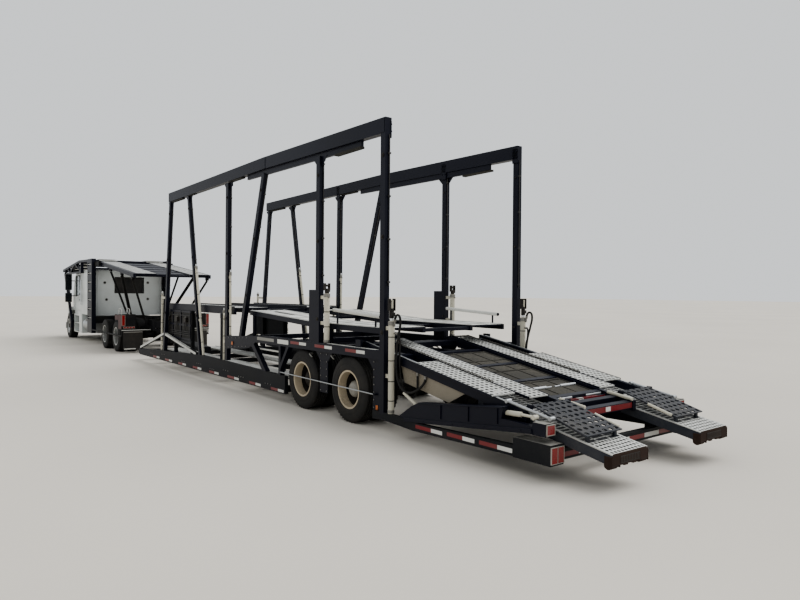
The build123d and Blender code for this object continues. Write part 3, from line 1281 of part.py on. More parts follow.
def save_cylinders():
    """The upright lift cylinders, each strapped to the post beside it."""
    solids = []
    y = HALF_WIDTH - POST_T / 2 - 8
    for foot_x, foot_z, head_x, head_z, radius, neck, straps, number in CYLINDERS:
        foot, head = (foot_x, y, foot_z), (head_x, y, head_z)
        tip_x = head_x + (head_x - foot_x) * neck / (head_z - foot_z)
        parts = [rod(foot, head, radius), rod(head, (tip_x, y, head_z + neck), radius * 0.55)]
        for share in (0.92, 0.4)[:straps]:
            x, _, z = between(foot, head, share)
            reach = sorted((x, post_x(number, z)))
            parts.append(block(*reach, y - 20, y + 20, z - 25, z + 25))
        piece = fuse(parts) - post_shape(number) - sill() - mid_side() - low_brace()
        solids.extend(pair(max(piece.solids(), key=lambda s: s.volume)))
    save("lift_cylinders", *solids)


POSTS = [
    # x and z of the top, x and z of the foot, depth along x
    (50.0, 3860.0, 50.0, 250.0, 100.0),
    (1680.0, 3830.0, 1680.0, MID_TOP_Z, 100.0),
    (3530.0, 3850.0, 4330.0, 1400.0, 100.0),
    (5085.0, 3890.0, 5115.0, 500.0, 110.0),
    (7240.0, 3890.0, 6530.0, 480.0, 80.0),
    (8440.0, 3900.0, 8880.0, 400.0, 90.0),
]


def post_shape(number):
    """One left-hand post, counted from the rear."""
    top_x, top_z, foot_x, foot_z, depth = POSTS[number - 1]
    return side_bar((foot_x, foot_z), (top_x, top_z), depth, HALF_WIDTH - POST_T, HALF_WIDTH)


def post_x(number, z):
    """The x of a post's middle at height z."""
    top_x, top_z, foot_x, foot_z, _ = POSTS[number - 1]
    return foot_x + (top_x - foot_x) * (z - foot_z) / (top_z - foot_z)


RAIL_LINE = [(0.0, 4060.0), (3540.0, 4120.0), (5200.0, 4112.0), (8530.0, 4100.0)]


def save_upper():
    """The posts and the long rails on their tops."""
    rail_points = RAIL_LINE + [(x, z - RAIL_TOP_DEPTH) for x, z in reversed(RAIL_LINE)]
    rail = side_plate(rail_points, HALF_WIDTH - RAIL_TOP_W, HALF_WIDTH)
    lip = side_plate([(600, 3780), (600, 3875), (4250, 3930), (4250, 3835)],
                     HALF_WIDTH - RAIL_TOP_W + 20, HALF_WIDTH - RAIL_TOP_W + 60)
    posts = [post_shape(number) for number in range(1, 7)]
    leg = side_bar((4330, 1400), (4465, 975), 100, HALF_WIDTH - POST_T, HALF_WIDTH)
    posts[2] = fuse([posts[2], leg])
    carriage = block(1700, 1935, HALF_WIDTH - POST_T + 6, HALF_WIDTH - 6, MID_TOP_Z, 1850)
    posts[1] = fuse([posts[1], carriage])
    low = sill()
    mid = mid_side()
    trimmed = []
    for post in posts:
        shape = post - rail - low - mid
        trimmed.append(max(shape.solids(), key=lambda s: s.volume))
    save("trailer_posts", *trimmed, *[mirrored(post) for post in trimmed])
    for post in trimmed:
        lip = lip - post
    rails = [rail] + [piece - rail for piece in lip.solids()]
    save("top_rails", *rails, *[mirrored(piece) for piece in rails])


def main():
    """Build and write every node."""
    os.makedirs("parts", exist_ok=True)
    save_wheels()
    save_trailer_axles()
    save_drive_axles()
    save_front_axle()
    save_knuckles()
    save_tractor_frame()
    save_bumper()
    save_engine()
    save_tanks()
    save_cab_steps()
    save_tractor_rear()
    save_cab()
    save_sleeper()
    save_doors()
    save_cab_inside()
    save_hood()
    save_mirrors()
    save_rack()
    save_tractor_deck()
    save_trailer_low()
    save_trailer_mid()
    save_upper()
    save_decks()
    save_rear_deck()
    save_rear_frame()
    save_cylinders()


if __name__ == "__main__":
    main()
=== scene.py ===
"""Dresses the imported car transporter: finishes for its steel, rubber and glass, and its fine pieces."""

import json
import logging
import math
from contextlib import contextmanager
from dataclasses import dataclass
from enum import Enum
from typing import Callable, Iterable, Iterator, Optional, Sequence, Union

import bpy
from mathutils import Matrix, Vector


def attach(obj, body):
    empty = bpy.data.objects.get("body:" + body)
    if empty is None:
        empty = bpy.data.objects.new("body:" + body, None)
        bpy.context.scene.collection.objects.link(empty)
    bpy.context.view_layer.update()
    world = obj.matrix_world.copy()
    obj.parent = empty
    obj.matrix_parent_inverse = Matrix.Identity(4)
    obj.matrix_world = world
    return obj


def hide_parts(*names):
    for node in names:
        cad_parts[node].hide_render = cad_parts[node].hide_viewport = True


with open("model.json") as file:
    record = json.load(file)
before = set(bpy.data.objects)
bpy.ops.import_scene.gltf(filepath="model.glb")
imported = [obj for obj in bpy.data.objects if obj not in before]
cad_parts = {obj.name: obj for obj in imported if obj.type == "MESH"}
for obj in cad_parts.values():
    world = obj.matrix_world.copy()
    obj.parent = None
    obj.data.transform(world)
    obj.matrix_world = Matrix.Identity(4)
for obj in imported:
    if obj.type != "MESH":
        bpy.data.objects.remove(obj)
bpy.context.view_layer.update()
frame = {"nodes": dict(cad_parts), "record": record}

LOG = logging.getLogger("transporter")
# the rear posts' place behind the frame's origin, and the carrier's half width, in metres
ORIGIN_X = 9.2
HALF_WIDTH = 1.295
# how far the tilting deck and the ramps rise per metre forward
REAR_SLOPE = 0.179
RAMP_SLOPE = 0.185
# where the ramps end
RAMP_TIP_X = -3.2

Point = tuple[float, float, float]
Piece = bpy.types.Object
Spot = tuple[float, float]
Socket = bpy.types.NodeSocket


class Body(Enum):
    """The single bodies that pieces ride on. Paired ones go by their stem and side."""

    TRACTOR = "tractor"
    TRAILER = "trailer"
    HOOD = "hood"
    TRACTOR_DECK = "tractor_deck"
    FRONT_DECK = "front_deck"
    MID_DECK = "mid_deck"
    REAR_DECK = "rear_deck"


def rig_x(x: float) -> float:
    """Turn a distance ahead of the rear posts, in metres, into the frame's x."""
    return x - ORIGIN_X


def linear(channel: float) -> float:
    """Turn one sRGB channel from 0 to 1 into its linear value."""
    return channel / 12.92 if channel <= 0.04045 else ((channel + 0.055) / 1.055) ** 2.4


def colour(code: str) -> tuple[float, float, float, float]:
    """Turn a hex colour into a linear one.

    Args:
        code: six hex digits of an sRGB colour.

    Returns:
        Red, green, blue and alpha for a shader socket.
    """
    channels = [int(code[i:i + 2], 16) / 255 for i in (0, 2, 4)]
    return (*[linear(channel) for channel in channels], 1.0)


# Finishes


class MaterialBench:
    """One material under construction, with short calls for its nodes."""

    def __init__(self, name: str) -> None:
        """Start a material with only a principled shader.

        Args:
            name: the material's name.
        """
        self.material = bpy.data.materials.new(name)
        self.material.use_nodes = True
        self.nodes = self.material.node_tree.nodes
        self.links = self.material.node_tree.links
        self.nodes.clear()
        self.output = self.nodes.new("ShaderNodeOutputMaterial")
        self.shader = self.nodes.new("ShaderNodeBsdfPrincipled")
        self.links.new(self.shader.outputs["BSDF"], self.output.inputs["Surface"])
        self.coords = self.nodes.new("ShaderNodeTexCoord")

    def add(self, kind: str, settings: Optional[dict] = None,
            inputs: Optional[dict] = None) -> bpy.types.Node:
        """Add a node.

        Args:
            kind: the node's type name.
            settings: attributes to set on it.
            inputs: socket names or numbers, each with a value or an output socket to link from.

        Returns:
            The new node.
        """
        node = self.nodes.new(kind)
        for key, value in (settings or {}).items():
            setattr(node, key, value)
        for key, value in (inputs or {}).items():
            socket = node.inputs[key]
            if isinstance(value, Socket):
                self.links.new(value, socket)
            else:
                socket.default_value = value
        return node

    def noise(self, scale: float, detail: float = 4.0, rough: float = 0.55,
            stretch: Point = (1, 1, 1)) -> Socket:
        """A noise pattern in metres of the object, with its scale in cycles per metre.

        Args:
            scale: cycles in a metre.
            detail: how many finer layers it has.
            rough: how strong those layers are.
            stretch: its scale along each axis.

        Returns:
            The pattern, from 0 to 1.
        """
        mapping = self.add("ShaderNodeMapping", None,
                {"Vector": self.coords.outputs["Object"], "Scale": stretch})
        node = self.add("ShaderNodeTexNoise", None,
                {"Vector": mapping.outputs["Vector"], "Scale": scale, "Detail": detail, "Roughness": rough})
        return node.outputs["Fac"]

    def ramp(self, value: Socket, low: float, high: float) -> Socket:
        """Spread a value between low and high over 0 to 1.

        Args:
            value: the value to spread.
            low: what becomes 0.
            high: what becomes 1.

        Returns:
            The spread value.
        """
        node = self.add("ShaderNodeMapRange", {"clamp": True},
                {"Value": value, "From Min": low, "From Max": high, "To Min": 0.0, "To Max": 1.0})
        return node.outputs["Result"]

    def maths(self, operation: str, first: object, second: object = 0.0) -> Socket:
        """One sum of two values."""
        return self.add("ShaderNodeMath", {"operation": operation}, {0: first, 1: second}).outputs[0]

    def mix(self, factor: object, first: object, second: object) -> Socket:
        """A mix of two colours."""
        node = self.add("ShaderNodeMix", {"data_type": "RGBA"}, {0: factor, 6: first, 7: second})
        return node.outputs[2]

    def facing_up(self) -> Socket:
        """How far the surface faces the sky, from 0 to 1."""
        geometry = self.add("ShaderNodeNewGeometry")
        parts = self.add("ShaderNodeSeparateXYZ", None, {0: geometry.outputs["Normal"]})
        return self.ramp(parts.outputs["Z"], 0.35, 0.95)

    def bump(self, height: Socket, strength: float, distance: float) -> None:
        """Raise the surface by a height pattern, with the distance in metres.

        Args:
            height: the pattern.
            strength: how much of it counts.
            distance: how high it stands.
        """
        node = self.add("ShaderNodeBump", None,
                {"Height": height, "Strength": strength, "Distance": distance})
        self.links.new(node.outputs["Normal"], self.shader.inputs["Normal"])

    def link(self, value: Socket, socket: str) -> None:
        """Feed one of the shader's sockets."""
        self.links.new(value, self.shader.inputs[socket])

    def fix(self, **values: object) -> None:
        """Set constants on the shader, with underscores for the spaces in socket names."""
        for key, value in values.items():
            self.shader.inputs[key.replace("_", " ")].default_value = value


@dataclass(frozen=True)
class PaintedSteel:
    """Sprayed steel with road dust on its upper faces and in patches."""

    name: str
    base: str
    dust: str = "8d8478"
    dust_share: float = 0.35
    gloss: float = 0.35
    coat: float = 0.25

    def build(self) -> bpy.types.Material:
        """Make the material."""
        bench = MaterialBench(self.name)
        # dust clouds about 600 mm wide, and grit drawn 26 mm apart so that it shows at all
        cloud = bench.noise(1.7, 6.0, 0.6)
        grain = bench.noise(38.0, 3.0, 0.6)
        patches = bench.ramp(cloud, 0.42, 0.72)
        upward = bench.facing_up()
        dust = bench.maths("MULTIPLY",
                bench.maths("ADD", bench.maths("MULTIPLY", upward, 0.8), patches), self.dust_share)
        dust = bench.maths("MULTIPLY", dust, bench.ramp(grain, 0.25, 0.6))
        tone = bench.mix(bench.ramp(bench.noise(0.6, 2.0), 0.3, 0.7), colour(self.base), tuple(
            min(1.0, c * 1.35 + 0.002) for c in colour(self.base)[:3]) + (1.0,))
        bench.link(bench.mix(dust, tone, colour(self.dust)), "Base Color")
        rough = bench.maths("ADD", bench.maths("MULTIPLY", dust, 0.5), self.gloss)
        bench.link(rough, "Roughness")
        bench.fix(Coat_Weight=self.coat, Coat_Roughness=0.2, Metallic=0.0, Specular_IOR_Level=0.2)
        bench.bump(grain, 0.12, 0.001)
        return bench.material


@dataclass(frozen=True)
class BareMetal:
    """Mill-finish or polished metal with scuffs."""

    name: str
    base: str
    rough: float = 0.4
    grime: str = "6d675e"
    grime_share: float = 0.3
    metallic: float = 0.85

    def build(self) -> bpy.types.Material:
        """Make the material."""
        bench = MaterialBench(self.name)
        # rolling marks about 9 mm apart and 110 mm long, far coarser than real ones
        brushed = bench.noise(9.0, 5.0, 0.7, (1.0, 12.0, 12.0))
        patches = bench.ramp(bench.noise(2.4, 5.0, 0.6), 0.45, 0.75)
        share = bench.maths("MULTIPLY", patches, self.grime_share)
        bench.link(bench.mix(share, colour(self.base), colour(self.grime)), "Base Color")
        rough = bench.maths("ADD", bench.maths("MULTIPLY", brushed, 0.25), self.rough)
        bench.link(rough, "Roughness")
        bench.fix(Metallic=self.metallic)
        bench.bump(brushed, 0.08, 0.0006)
        return bench.material


@dataclass(frozen=True)
class BlackRubber:
    """Tyre or flap rubber, browned with dust."""

    name: str
    base: str = "141415"
    dust: str = "5a544b"
    dust_share: float = 0.25

    def build(self) -> bpy.types.Material:
        """Make the material."""
        bench = MaterialBench(self.name)
        cloud = bench.ramp(bench.noise(3.0, 6.0, 0.6), 0.35, 0.75)
        # moulding grain 17 mm apart, drawn coarse to show
        fine = bench.noise(60.0, 3.0, 0.6)
        share = bench.maths("MULTIPLY", cloud, self.dust_share)
        bench.link(bench.mix(share, colour(self.base), colour(self.dust)), "Base Color")
        bench.fix(Roughness=0.7, Specular_IOR_Level=0.4)
        bench.bump(fine, 0.2, 0.0012)
        return bench.material


@dataclass(frozen=True)
class MouldedPlastic:
    """Moulded plastic with a fine grain."""

    name: str
    base: str
    rough: float = 0.5

    def build(self) -> bpy.types.Material:
        """Make the material."""
        bench = MaterialBench(self.name)
        # mould grain 4.5 mm apart, about ten times the real one
        grain = bench.noise(220.0, 2.0, 0.5)
        cloud = bench.ramp(bench.noise(2.0, 3.0), 0.3, 0.8)
        base = colour(self.base)
        bench.link(bench.mix(bench.maths("MULTIPLY", cloud, 0.3), base, colour("6f6a62")), "Base Color")
        bench.fix(Roughness=self.rough)
        bench.bump(grain, 0.1, 0.0004)
        return bench.material


@dataclass(frozen=True)
class TintedGlass:
    """Smoked glazing that still lets the cab show."""

    name: str
    base: str = "aab4b4"

    def build(self) -> bpy.types.Material:
        """Make the material."""
        bench = MaterialBench(self.name)
        haze = bench.ramp(bench.noise(1.4, 4.0), 0.4, 0.8)
        bench.link(bench.mix(bench.maths("MULTIPLY", haze, 0.2), colour(self.base), colour("8a8478")),
                "Base Color")
        bench.fix(Roughness=0.04, Transmission_Weight=0.85, IOR=1.45, Alpha=1.0)
        return bench.material


@dataclass(frozen=True)
class WovenCloth:
    """Woven seat cloth."""

    name: str
    base: str

    def build(self) -> bpy.types.Material:
        """Make the material."""
        bench = MaterialBench(self.name)
        # threads about 2 mm apart
        wave = bench.add("ShaderNodeTexWave", {"wave_type": "BANDS", "bands_direction": "Y"},
                {"Vector": bench.coords.outputs["Object"], "Scale": 160.0, "Distortion": 1.5})
        base = colour(self.base)
        bench.link(bench.mix(bench.maths("MULTIPLY", wave.outputs["Fac"], 0.5), base, colour("5a5a60")),
                "Base Color")
        bench.fix(Roughness=0.9, Sheen_Weight=0.3)
        bench.bump(wave.outputs["Fac"], 0.3, 0.001)
        return bench.material


FINISHES = {
    # sprayed two-pack enamel on the cab
    "white_paint": PaintedSteel("white_cab_enamel", "c3c7c5", "8d8579", 0.24, 0.28, 0.4),
    # dark navy enamel on the carrier's steelwork
    "navy_paint": PaintedSteel("navy_carrier_enamel", "090c1b", "45454c", 0.08, 0.4, 0.05),
    # slate grey chassis paint on the low sills
    "slate_paint": PaintedSteel("slate_sill_paint", "17191d", "5c574f", 0.16, 0.55, 0.0),
    # mill-finish aluminium of the runways
    "pale_deck": BareMetal("aluminium_runway", "c8c8c4", 0.42, "7b756b", 0.45, 0.6),
    # grey ramp paint, worn by tyres
    "ramp_paint": PaintedSteel("blue_grey_ramp_paint", "2e3138", "77726a", 0.28, 0.5, 0.0),
    # putty-coloured hydraulic barrels
    "cylinder_paint": PaintedSteel("putty_cylinder_paint", "b9b5a6", "8d8478", 0.2, 0.4, 0.2),
    # moulded tyre rubber: dull black, browned by dust
    "wheel": BlackRubber("tyre_rubber"),
    # brushed-on chassis black: nearly matt under road dirt
    "chassis": PaintedSteel("black_chassis_paint", "101113", "5f594f", 0.25, 0.55, 0.0),
    # polished sheet of the tanks: soft grey mirror
    "bare_steel": BareMetal("polished_tank", "b5b7b8", 0.3, "77726a", 0.25, 0.9),
    # chrome plate: clear bright mirror
    "chrome_trim": BareMetal("bright_chrome", "d9dcdf", 0.12, "8c877d", 0.12, 1.0),
    # float glass with a light tint: the cab shows through
    "window_glass": TintedGlass("smoked_glass"),
    # moulded dash plastic: dark, half matt
    "cab_plastic": MouldedPlastic("dash_plastic", "2c2c2f"),
    # woven seat cloth: charcoal with fine ribs
    "seat_cloth": WovenCloth("seat_weave", "3c3c42"),
    # rubber sheet: flat black with dust
    "flap_rubber": BlackRubber("flap_rubber_sheet", "161616", "5f574c", 0.3),
    # red acrylic: deep and glossy
    "red_lens": MouldedPlastic("red_lamp_lens", "8e1414", 0.15),
    # clear acrylic over a reflector: pale and glossy
    "clear_lens": MouldedPlastic("clear_lamp_lens", "d6d9dc", 0.1),
    # baked putty enamel on pressed steel rims: chalky beige
    "rim_paint": PaintedSteel("putty_rim_enamel", "b3a690", "6f6557", 0.4, 0.5, 0.1),
    # forged alloy rims of the tractor, polished and then dulled by the road
    "alloy_rim": BareMetal("forged_alloy_rim", "c9cac8", 0.28, "8a857a", 0.3, 0.85),
    # painted shade: the trailer rims' deep insides, their discs and the inner part of the barrels, coloured
    # brown-black; the dust on them is real
    "dark_rim": PaintedSteel("rim_insides_painted_shade", "2a2623", "5d554a", 0.4, 0.7, 0.0),
    # zinc-plated forgings: dull silver with brown in the corners
    "nut_steel": BareMetal("zinc_plated_forging", "8f8d88", 0.45, "5d564c", 0.5, 0.7),
    # oily cast iron: near black with brown dust
    "hub_iron": PaintedSteel("oiled_hub_casting", "24211f", "5d564c", 0.4, 0.5, 0.1),
    # pressed cap, worn back to grey
    "cap_steel": PaintedSteel("grey_hub_cap", "8e8b84", "6f6557", 0.3, 0.4, 0.2),
    # retroreflective film: red, darkened to a deep red as painted shade
    "tape_red": MouldedPlastic("red_reflective_tape", "780a16", 0.35),
    # retroreflective film: silver white
    "tape_white": MouldedPlastic("white_reflective_tape", "d9d9d4", 0.3),
    # nylon cable straps: matt black bands
    "strap_plastic": MouldedPlastic("nylon_strap", "1a1a1c", 0.5),
    # hose cover rubber: smooth dull black
    "hose_rubber": BlackRubber("hose_cover_rubber", "131314", "4a453d", 0.25),
    # expanded steel, rusting under black paint: dark dusty brown
    "expanded_steel": PaintedSteel("expanded_steel_floor", "2d2c29", "66625a", 0.5, 0.7, 0.0),
    # black-oxide chain links: dull grey
    "chain_steel": BareMetal("lashing_chain", "6f6c66", 0.5, "4b443b", 0.5, 0.8),
    # primed plate with thin paint: tan
    "tan_plate": PaintedSteel("primed_side_plate", "878073", "544c41", 0.55, 0.6, 0.0),
    # steel scraped bare on the ground: rust brown
    "rusty_steel": PaintedSteel("scraped_rusty_steel", "2c201b", "5d5249", 0.4, 0.8, 0.0),
    # moulded lamp surround: pale grey
    "lamp_rim": MouldedPlastic("lamp_surround", "9f9a92", 0.45),
    # paint scuffed by boots: pale grey
    "worn_paint": PaintedSteel("boot_worn_paint", "8b8a85", "6f685e", 0.4, 0.6, 0.05),
    # white paint on the deck lanes, scuffed by tyres
    "white_deck": PaintedSteel("white_deck_paint", "cfcfca", "8f877b", 0.3, 0.5, 0.1),
    # flat black: black rubber and plastic parts, and painted shade in the recesses, slots, vent holes and
    # windows that it covers
    "black_recess": MouldedPlastic("matt_black_and_painted_shade", "0d0d0f", 0.7),
    # galvanised tube: pale grey
    "pale_tube": PaintedSteel("galvanised_tube", "bdbdb8", "8a8378", 0.25, 0.45, 0.1),
    # amber polycarbonate
    "amber_lens": MouldedPlastic("amber_lamp_lens", "b8601a", 0.2),
    # five-bar tread plate: bright with dark corners
    "tread_plate": BareMetal("aluminium_tread_plate", "b9b9b4", 0.35, "6d665b", 0.4, 0.75),
    # silvered glass, dark as it mirrors the rack above
    "mirror_silver": BareMetal("mirror_glass", "2a2e33", 0.08, "24221f", 0.15, 0.9),
    # dark red enamel, dulled
    "oxblood_paint": PaintedSteel("oxblood_box_enamel", "3d0d12", "57524b", 0.2, 0.45, 0.1),
    # cotton pillow case
    "pillow_cotton": WovenCloth("pillow_cotton", "b9b6ad"),
    # vinyl mattress and headliner cloth
    "trim_cloth": WovenCloth("bunk_vinyl", "77746c"),
}

# the record's slot of each finish that isn't a slot itself
SLOT_OF = {"rim_paint": "cylinder_paint", "alloy_rim": "bare_steel", "dark_rim": "chassis",
        "nut_steel": "bare_steel", "hub_iron": "chassis", "cap_steel": "bare_steel", "tape_red": "red_lens",
        "tape_white": "clear_lens", "strap_plastic": "cab_plastic", "hose_rubber": "flap_rubber",
        "expanded_steel": "chassis", "chain_steel": "bare_steel", "tan_plate": "ramp_paint",
        "rusty_steel": "ramp_paint", "lamp_rim": "cab_plastic", "worn_paint": "ramp_paint",
        "white_deck": "pale_deck", "black_recess": "chassis", "pale_tube": "pale_deck",
        "amber_lens": "red_lens", "tread_plate": "bare_steel", "trim_cloth": "seat_cloth",
        "mirror_silver": "cab_plastic", "oxblood_paint": "navy_paint", "pillow_cotton": "seat_cloth",}


class Wardrobe:
    """All the finishes, each made once."""

    def __init__(self) -> None:
        """Start with no finish made; get makes each one when it is first asked for."""
        self.made: dict[str, bpy.types.Material] = {}

    def get(self, slot: str) -> bpy.types.Material:
        """The material of a named finish.

        Args:
            slot: the finish's name.

        Returns:
            Its material.
        """
        if slot not in self.made:
            self.made[slot] = FINISHES[slot].build()
        return self.made[slot]

    def dress_nodes(self) -> None:
        """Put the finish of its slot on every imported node."""
        slots = {entry["node"]: entry["material_slot"] for entry in frame["record"]["subparts"]}
        for name, node in frame["nodes"].items():
            node.data.materials.clear()
            node.data.materials.append(self.get(slots[name]))
            LOG.info("dressed %s", name)


# Modelling by hand


def clear() -> None:
    """Deselect everything."""
    bpy.ops.object.select_all(action="DESELECT")


def pick(*pieces: Piece) -> None:
    """Select only these pieces, with the first one active."""
    clear()
    for piece in pieces:
        piece.select_set(True)
    bpy.context.view_layer.objects.active = pieces[0]


@contextmanager
def editing(piece: Piece, chosen: Optional[str] = "SELECT") -> Iterator[None]:
    """Edit one piece.

    Args:
        piece: the mesh.
        chosen: SELECT or DESELECT for all of it, or None to keep what is selected.

    Returns:
        A context in which the piece is open for editing.
    """
    pick(piece)
    bpy.ops.object.mode_set(mode="EDIT")
    if chosen:
        bpy.ops.mesh.select_all(action=chosen)
    yield
    bpy.ops.object.mode_set(mode="OBJECT")


def choose(piece: Piece, kind: str, test: Callable[[object], bool]) -> None:
    """Select only what passes a test.

    Args:
        piece: the mesh.
        kind: polygons or vertices.
        test: tells whether one of them is selected.
    """
    with editing(piece, "DESELECT"):
        pass
    for item in getattr(piece.data, kind):
        item.select = test(item)


def settle(piece: Piece) -> Piece:
    """Put a piece's place, turn and size into its mesh.

    Args:
        piece: the piece, anywhere.

    Returns:
        The same piece.
    """
    pick(piece)
    bpy.ops.object.transform_apply(location=True, rotation=True, scale=True)
    return piece


def soften(piece: Piece, width: float, segments: int = 1) -> Piece:
    """Break all the edges of a piece.

    Args:
        piece: a closed mesh.
        width: how far the bevel reaches from each edge, in metres.
        segments: the steps across it.

    Returns:
        The same piece.
    """
    if width > 0:
        with editing(piece):
            bpy.ops.mesh.bevel(offset=width, segments=segments, clamp_overlap=True)
    return piece


def slab(low: Point, high: Point, edge: float = 0.003) -> Piece:
    """A block between two corners, its edges broken.

    Args:
        low: the lowest corner in the rig's own x, y and z.
        high: the highest corner.
        edge: the width of its bevel.

    Returns:
        The block.
    """
    clear()
    middle = [(a + b) / 2 for a, b in zip(low, high)]
    bpy.ops.mesh.primitive_cube_add(size=1.0, location=(rig_x(middle[0]), middle[1], middle[2]))
    piece = bpy.context.object
    piece.scale = [abs(b - a) for a, b in zip(low, high)]
    return soften(settle(piece), edge)


def between_points(piece: Piece, start: Point, end: Point) -> Piece:
    """Turn a piece modelled along z so that it runs from start to end.

    Args:
        piece: modelled along z, with its middle at the origin.
        start: its first end, in the rig's own frame.
        end: its other end.

    Returns:
        The same piece, in its place.
    """
    a = Vector((rig_x(start[0]), start[1], start[2]))
    b = Vector((rig_x(end[0]), end[1], end[2]))
    turn = (b - a).to_track_quat("Z", "Y").to_matrix().to_4x4()
    piece.matrix_world = Matrix.Translation((a + b) / 2) @ turn @ Matrix.Diagonal((*piece.scale, 1.0))
    return settle(piece)


def strut(start: Point, end: Point, width: float, depth: float, edge: float = 0.002) -> Piece:
    """A square bar from start to end, with its depth lying in the vertical plane of its run.

    Args:
        start: its first end, in the rig's own frame.
        end: its other end.
        width: its size across the run, level.
        depth: its size across the run, upright.
        edge: the width of its bevel.

    Returns:
        The bar.
    """
    clear()
    bpy.ops.mesh.primitive_cube_add(size=1.0)
    piece = bpy.context.object
    length = math.dist(start, end)
    piece.scale = (width, depth, length)
    return soften(between_points(piece, start, end), edge)


def tube(start: Point, end: Point, radius: float, sides: int = 20, edge: float = 0.0015) -> Piece:
    """A round bar from start to end.

    Args:
        start: its first end, in the rig's own frame.
        end: its other end.
        radius: its radius.
        sides: how many sides its round has.
        edge: the width of the bevel on both ends, or 0 for none.

    Returns:
        The bar.
    """
    clear()
    bpy.ops.mesh.primitive_cylinder_add(vertices=sides, radius=radius, depth=math.dist(start, end))
    piece = between_points(bpy.context.object, start, end)
    if edge > 0:
        choose(piece, "polygons", lambda face: len(face.vertices) > 4)
        with editing(piece, None):
            bpy.ops.mesh.bevel(offset=edge, segments=1, clamp_overlap=True)
    return piece


def drawn(points: Sequence[Point]) -> Piece:
    """A chain of edges from point to point, extruded one by one.

    Args:
        points: the corners, in the scene's frame.

    Returns:
        A mesh of edges only.
    """
    clear()
    bpy.ops.mesh.primitive_plane_add(size=0.01, location=(0.0, 0.0, 0.0))
    piece = bpy.context.object
    with editing(piece):
        bpy.ops.mesh.merge(type="CENTER")
        bpy.ops.transform.translate(value=points[0])
        for start, end in zip(points, points[1:]):
            move = [b - a for a, b in zip(start, end)]
            bpy.ops.mesh.extrude_vertices_move(TRANSFORM_OT_translate={"value": move})
    return piece


def lathe(profile: Sequence[tuple[float, float]], x: float, z: float, steps: int = 48) -> Piece:
    """A turned shape about an axis along y.

    Args:
        profile: closed outline as (y, radius) points.
        x: the axis' place ahead of the rear posts.
        z: the axis' height.
        steps: the number of faces round it.

    Returns:
        The turned piece.
    """
    piece = drawn([(0.0, y, r) for y, r in (*profile, profile[0])])
    with editing(piece):
        bpy.ops.mesh.spin(steps=steps, angle=2 * math.pi, center=(0.0, 0.0, 0.0), axis=(0.0, 1.0, 0.0))
        bpy.ops.mesh.select_all(action="SELECT")
        bpy.ops.mesh.remove_doubles(threshold=0.0001)
        bpy.ops.mesh.normals_make_consistent(inside=False)
    piece.location = (rig_x(x), 0.0, z)
    return settle(piece)


def profile_plate(outline: Sequence[tuple[float, float]], y0: float, y1: float,
        edge: float = 0.0008) -> Piece:
    """A flat plate standing along x, drawn point by point and pulled to its thickness.

    Args:
        outline: its corners as (x, z) in the rig's own frame.
        y0: the near side of its thickness.
        y1: the far side.
        edge: the width of its bevel.

    Returns:
        The plate.
    """
    piece = drawn([(rig_x(x), y0, z) for x, z in outline])
    with editing(piece):
        bpy.ops.mesh.edge_face_add()
        bpy.ops.mesh.extrude_region_move(TRANSFORM_OT_translate={"value": (0.0, y1 - y0, 0.0)})
        bpy.ops.mesh.select_all(action="SELECT")
        bpy.ops.mesh.normals_make_consistent(inside=False)
    return soften(piece, edge)


def join(pieces: Iterable[Piece]) -> Piece:
    """One mesh from several.

    Args:
        pieces: the meshes, which become one.

    Returns:
        The joined mesh.
    """
    pieces = list(pieces)
    pick(*pieces)
    if len(pieces) > 1:
        bpy.ops.object.join()
    return bpy.context.view_layer.objects.active


def copied(piece: Piece, move: Point = (0.0, 0.0, 0.0)) -> Piece:
    """A copy with its own mesh, moved.

    Args:
        piece: the piece to copy.
        move: how far the copy stands from it.

    Returns:
        The copy.
    """
    twin = bpy.data.objects.new(piece.name, piece.data.copy())
    bpy.context.scene.collection.objects.link(twin)
    twin.data.transform(Matrix.Translation(move))
    return twin


def mirrored(piece: Piece) -> Piece:
    """The right-hand twin of a left-hand piece, with its own mesh.

    Args:
        piece: a piece on the left.

    Returns:
        The piece on the right.
    """
    twin = copied(piece)
    twin.data.transform(Matrix.Diagonal((1.0, -1.0, 1.0, 1.0)))
    twin.data.flip_normals()
    return twin


def both_sides(pieces: Iterable[Piece]) -> list[Piece]:
    """The pieces and their right-hand twins."""
    pieces = list(pieces)
    return pieces + [mirrored(piece) for piece in pieces]


def repeated(piece: Piece, count: int, step: Point) -> Piece:
    """A row of one shape, made by an applied array.

    Args:
        piece: the shape, which becomes the first of the row.
        count: how many there are.
        step: the distance from each to the next.

    Returns:
        The row as one mesh.
    """
    pick(piece)
    array = piece.modifiers.new("row", "ARRAY")
    array.count = count
    array.use_relative_offset = False
    array.use_constant_offset = True
    array.constant_offset_displace = step
    bpy.ops.object.modifier_apply(modifier=array.name)
    return piece


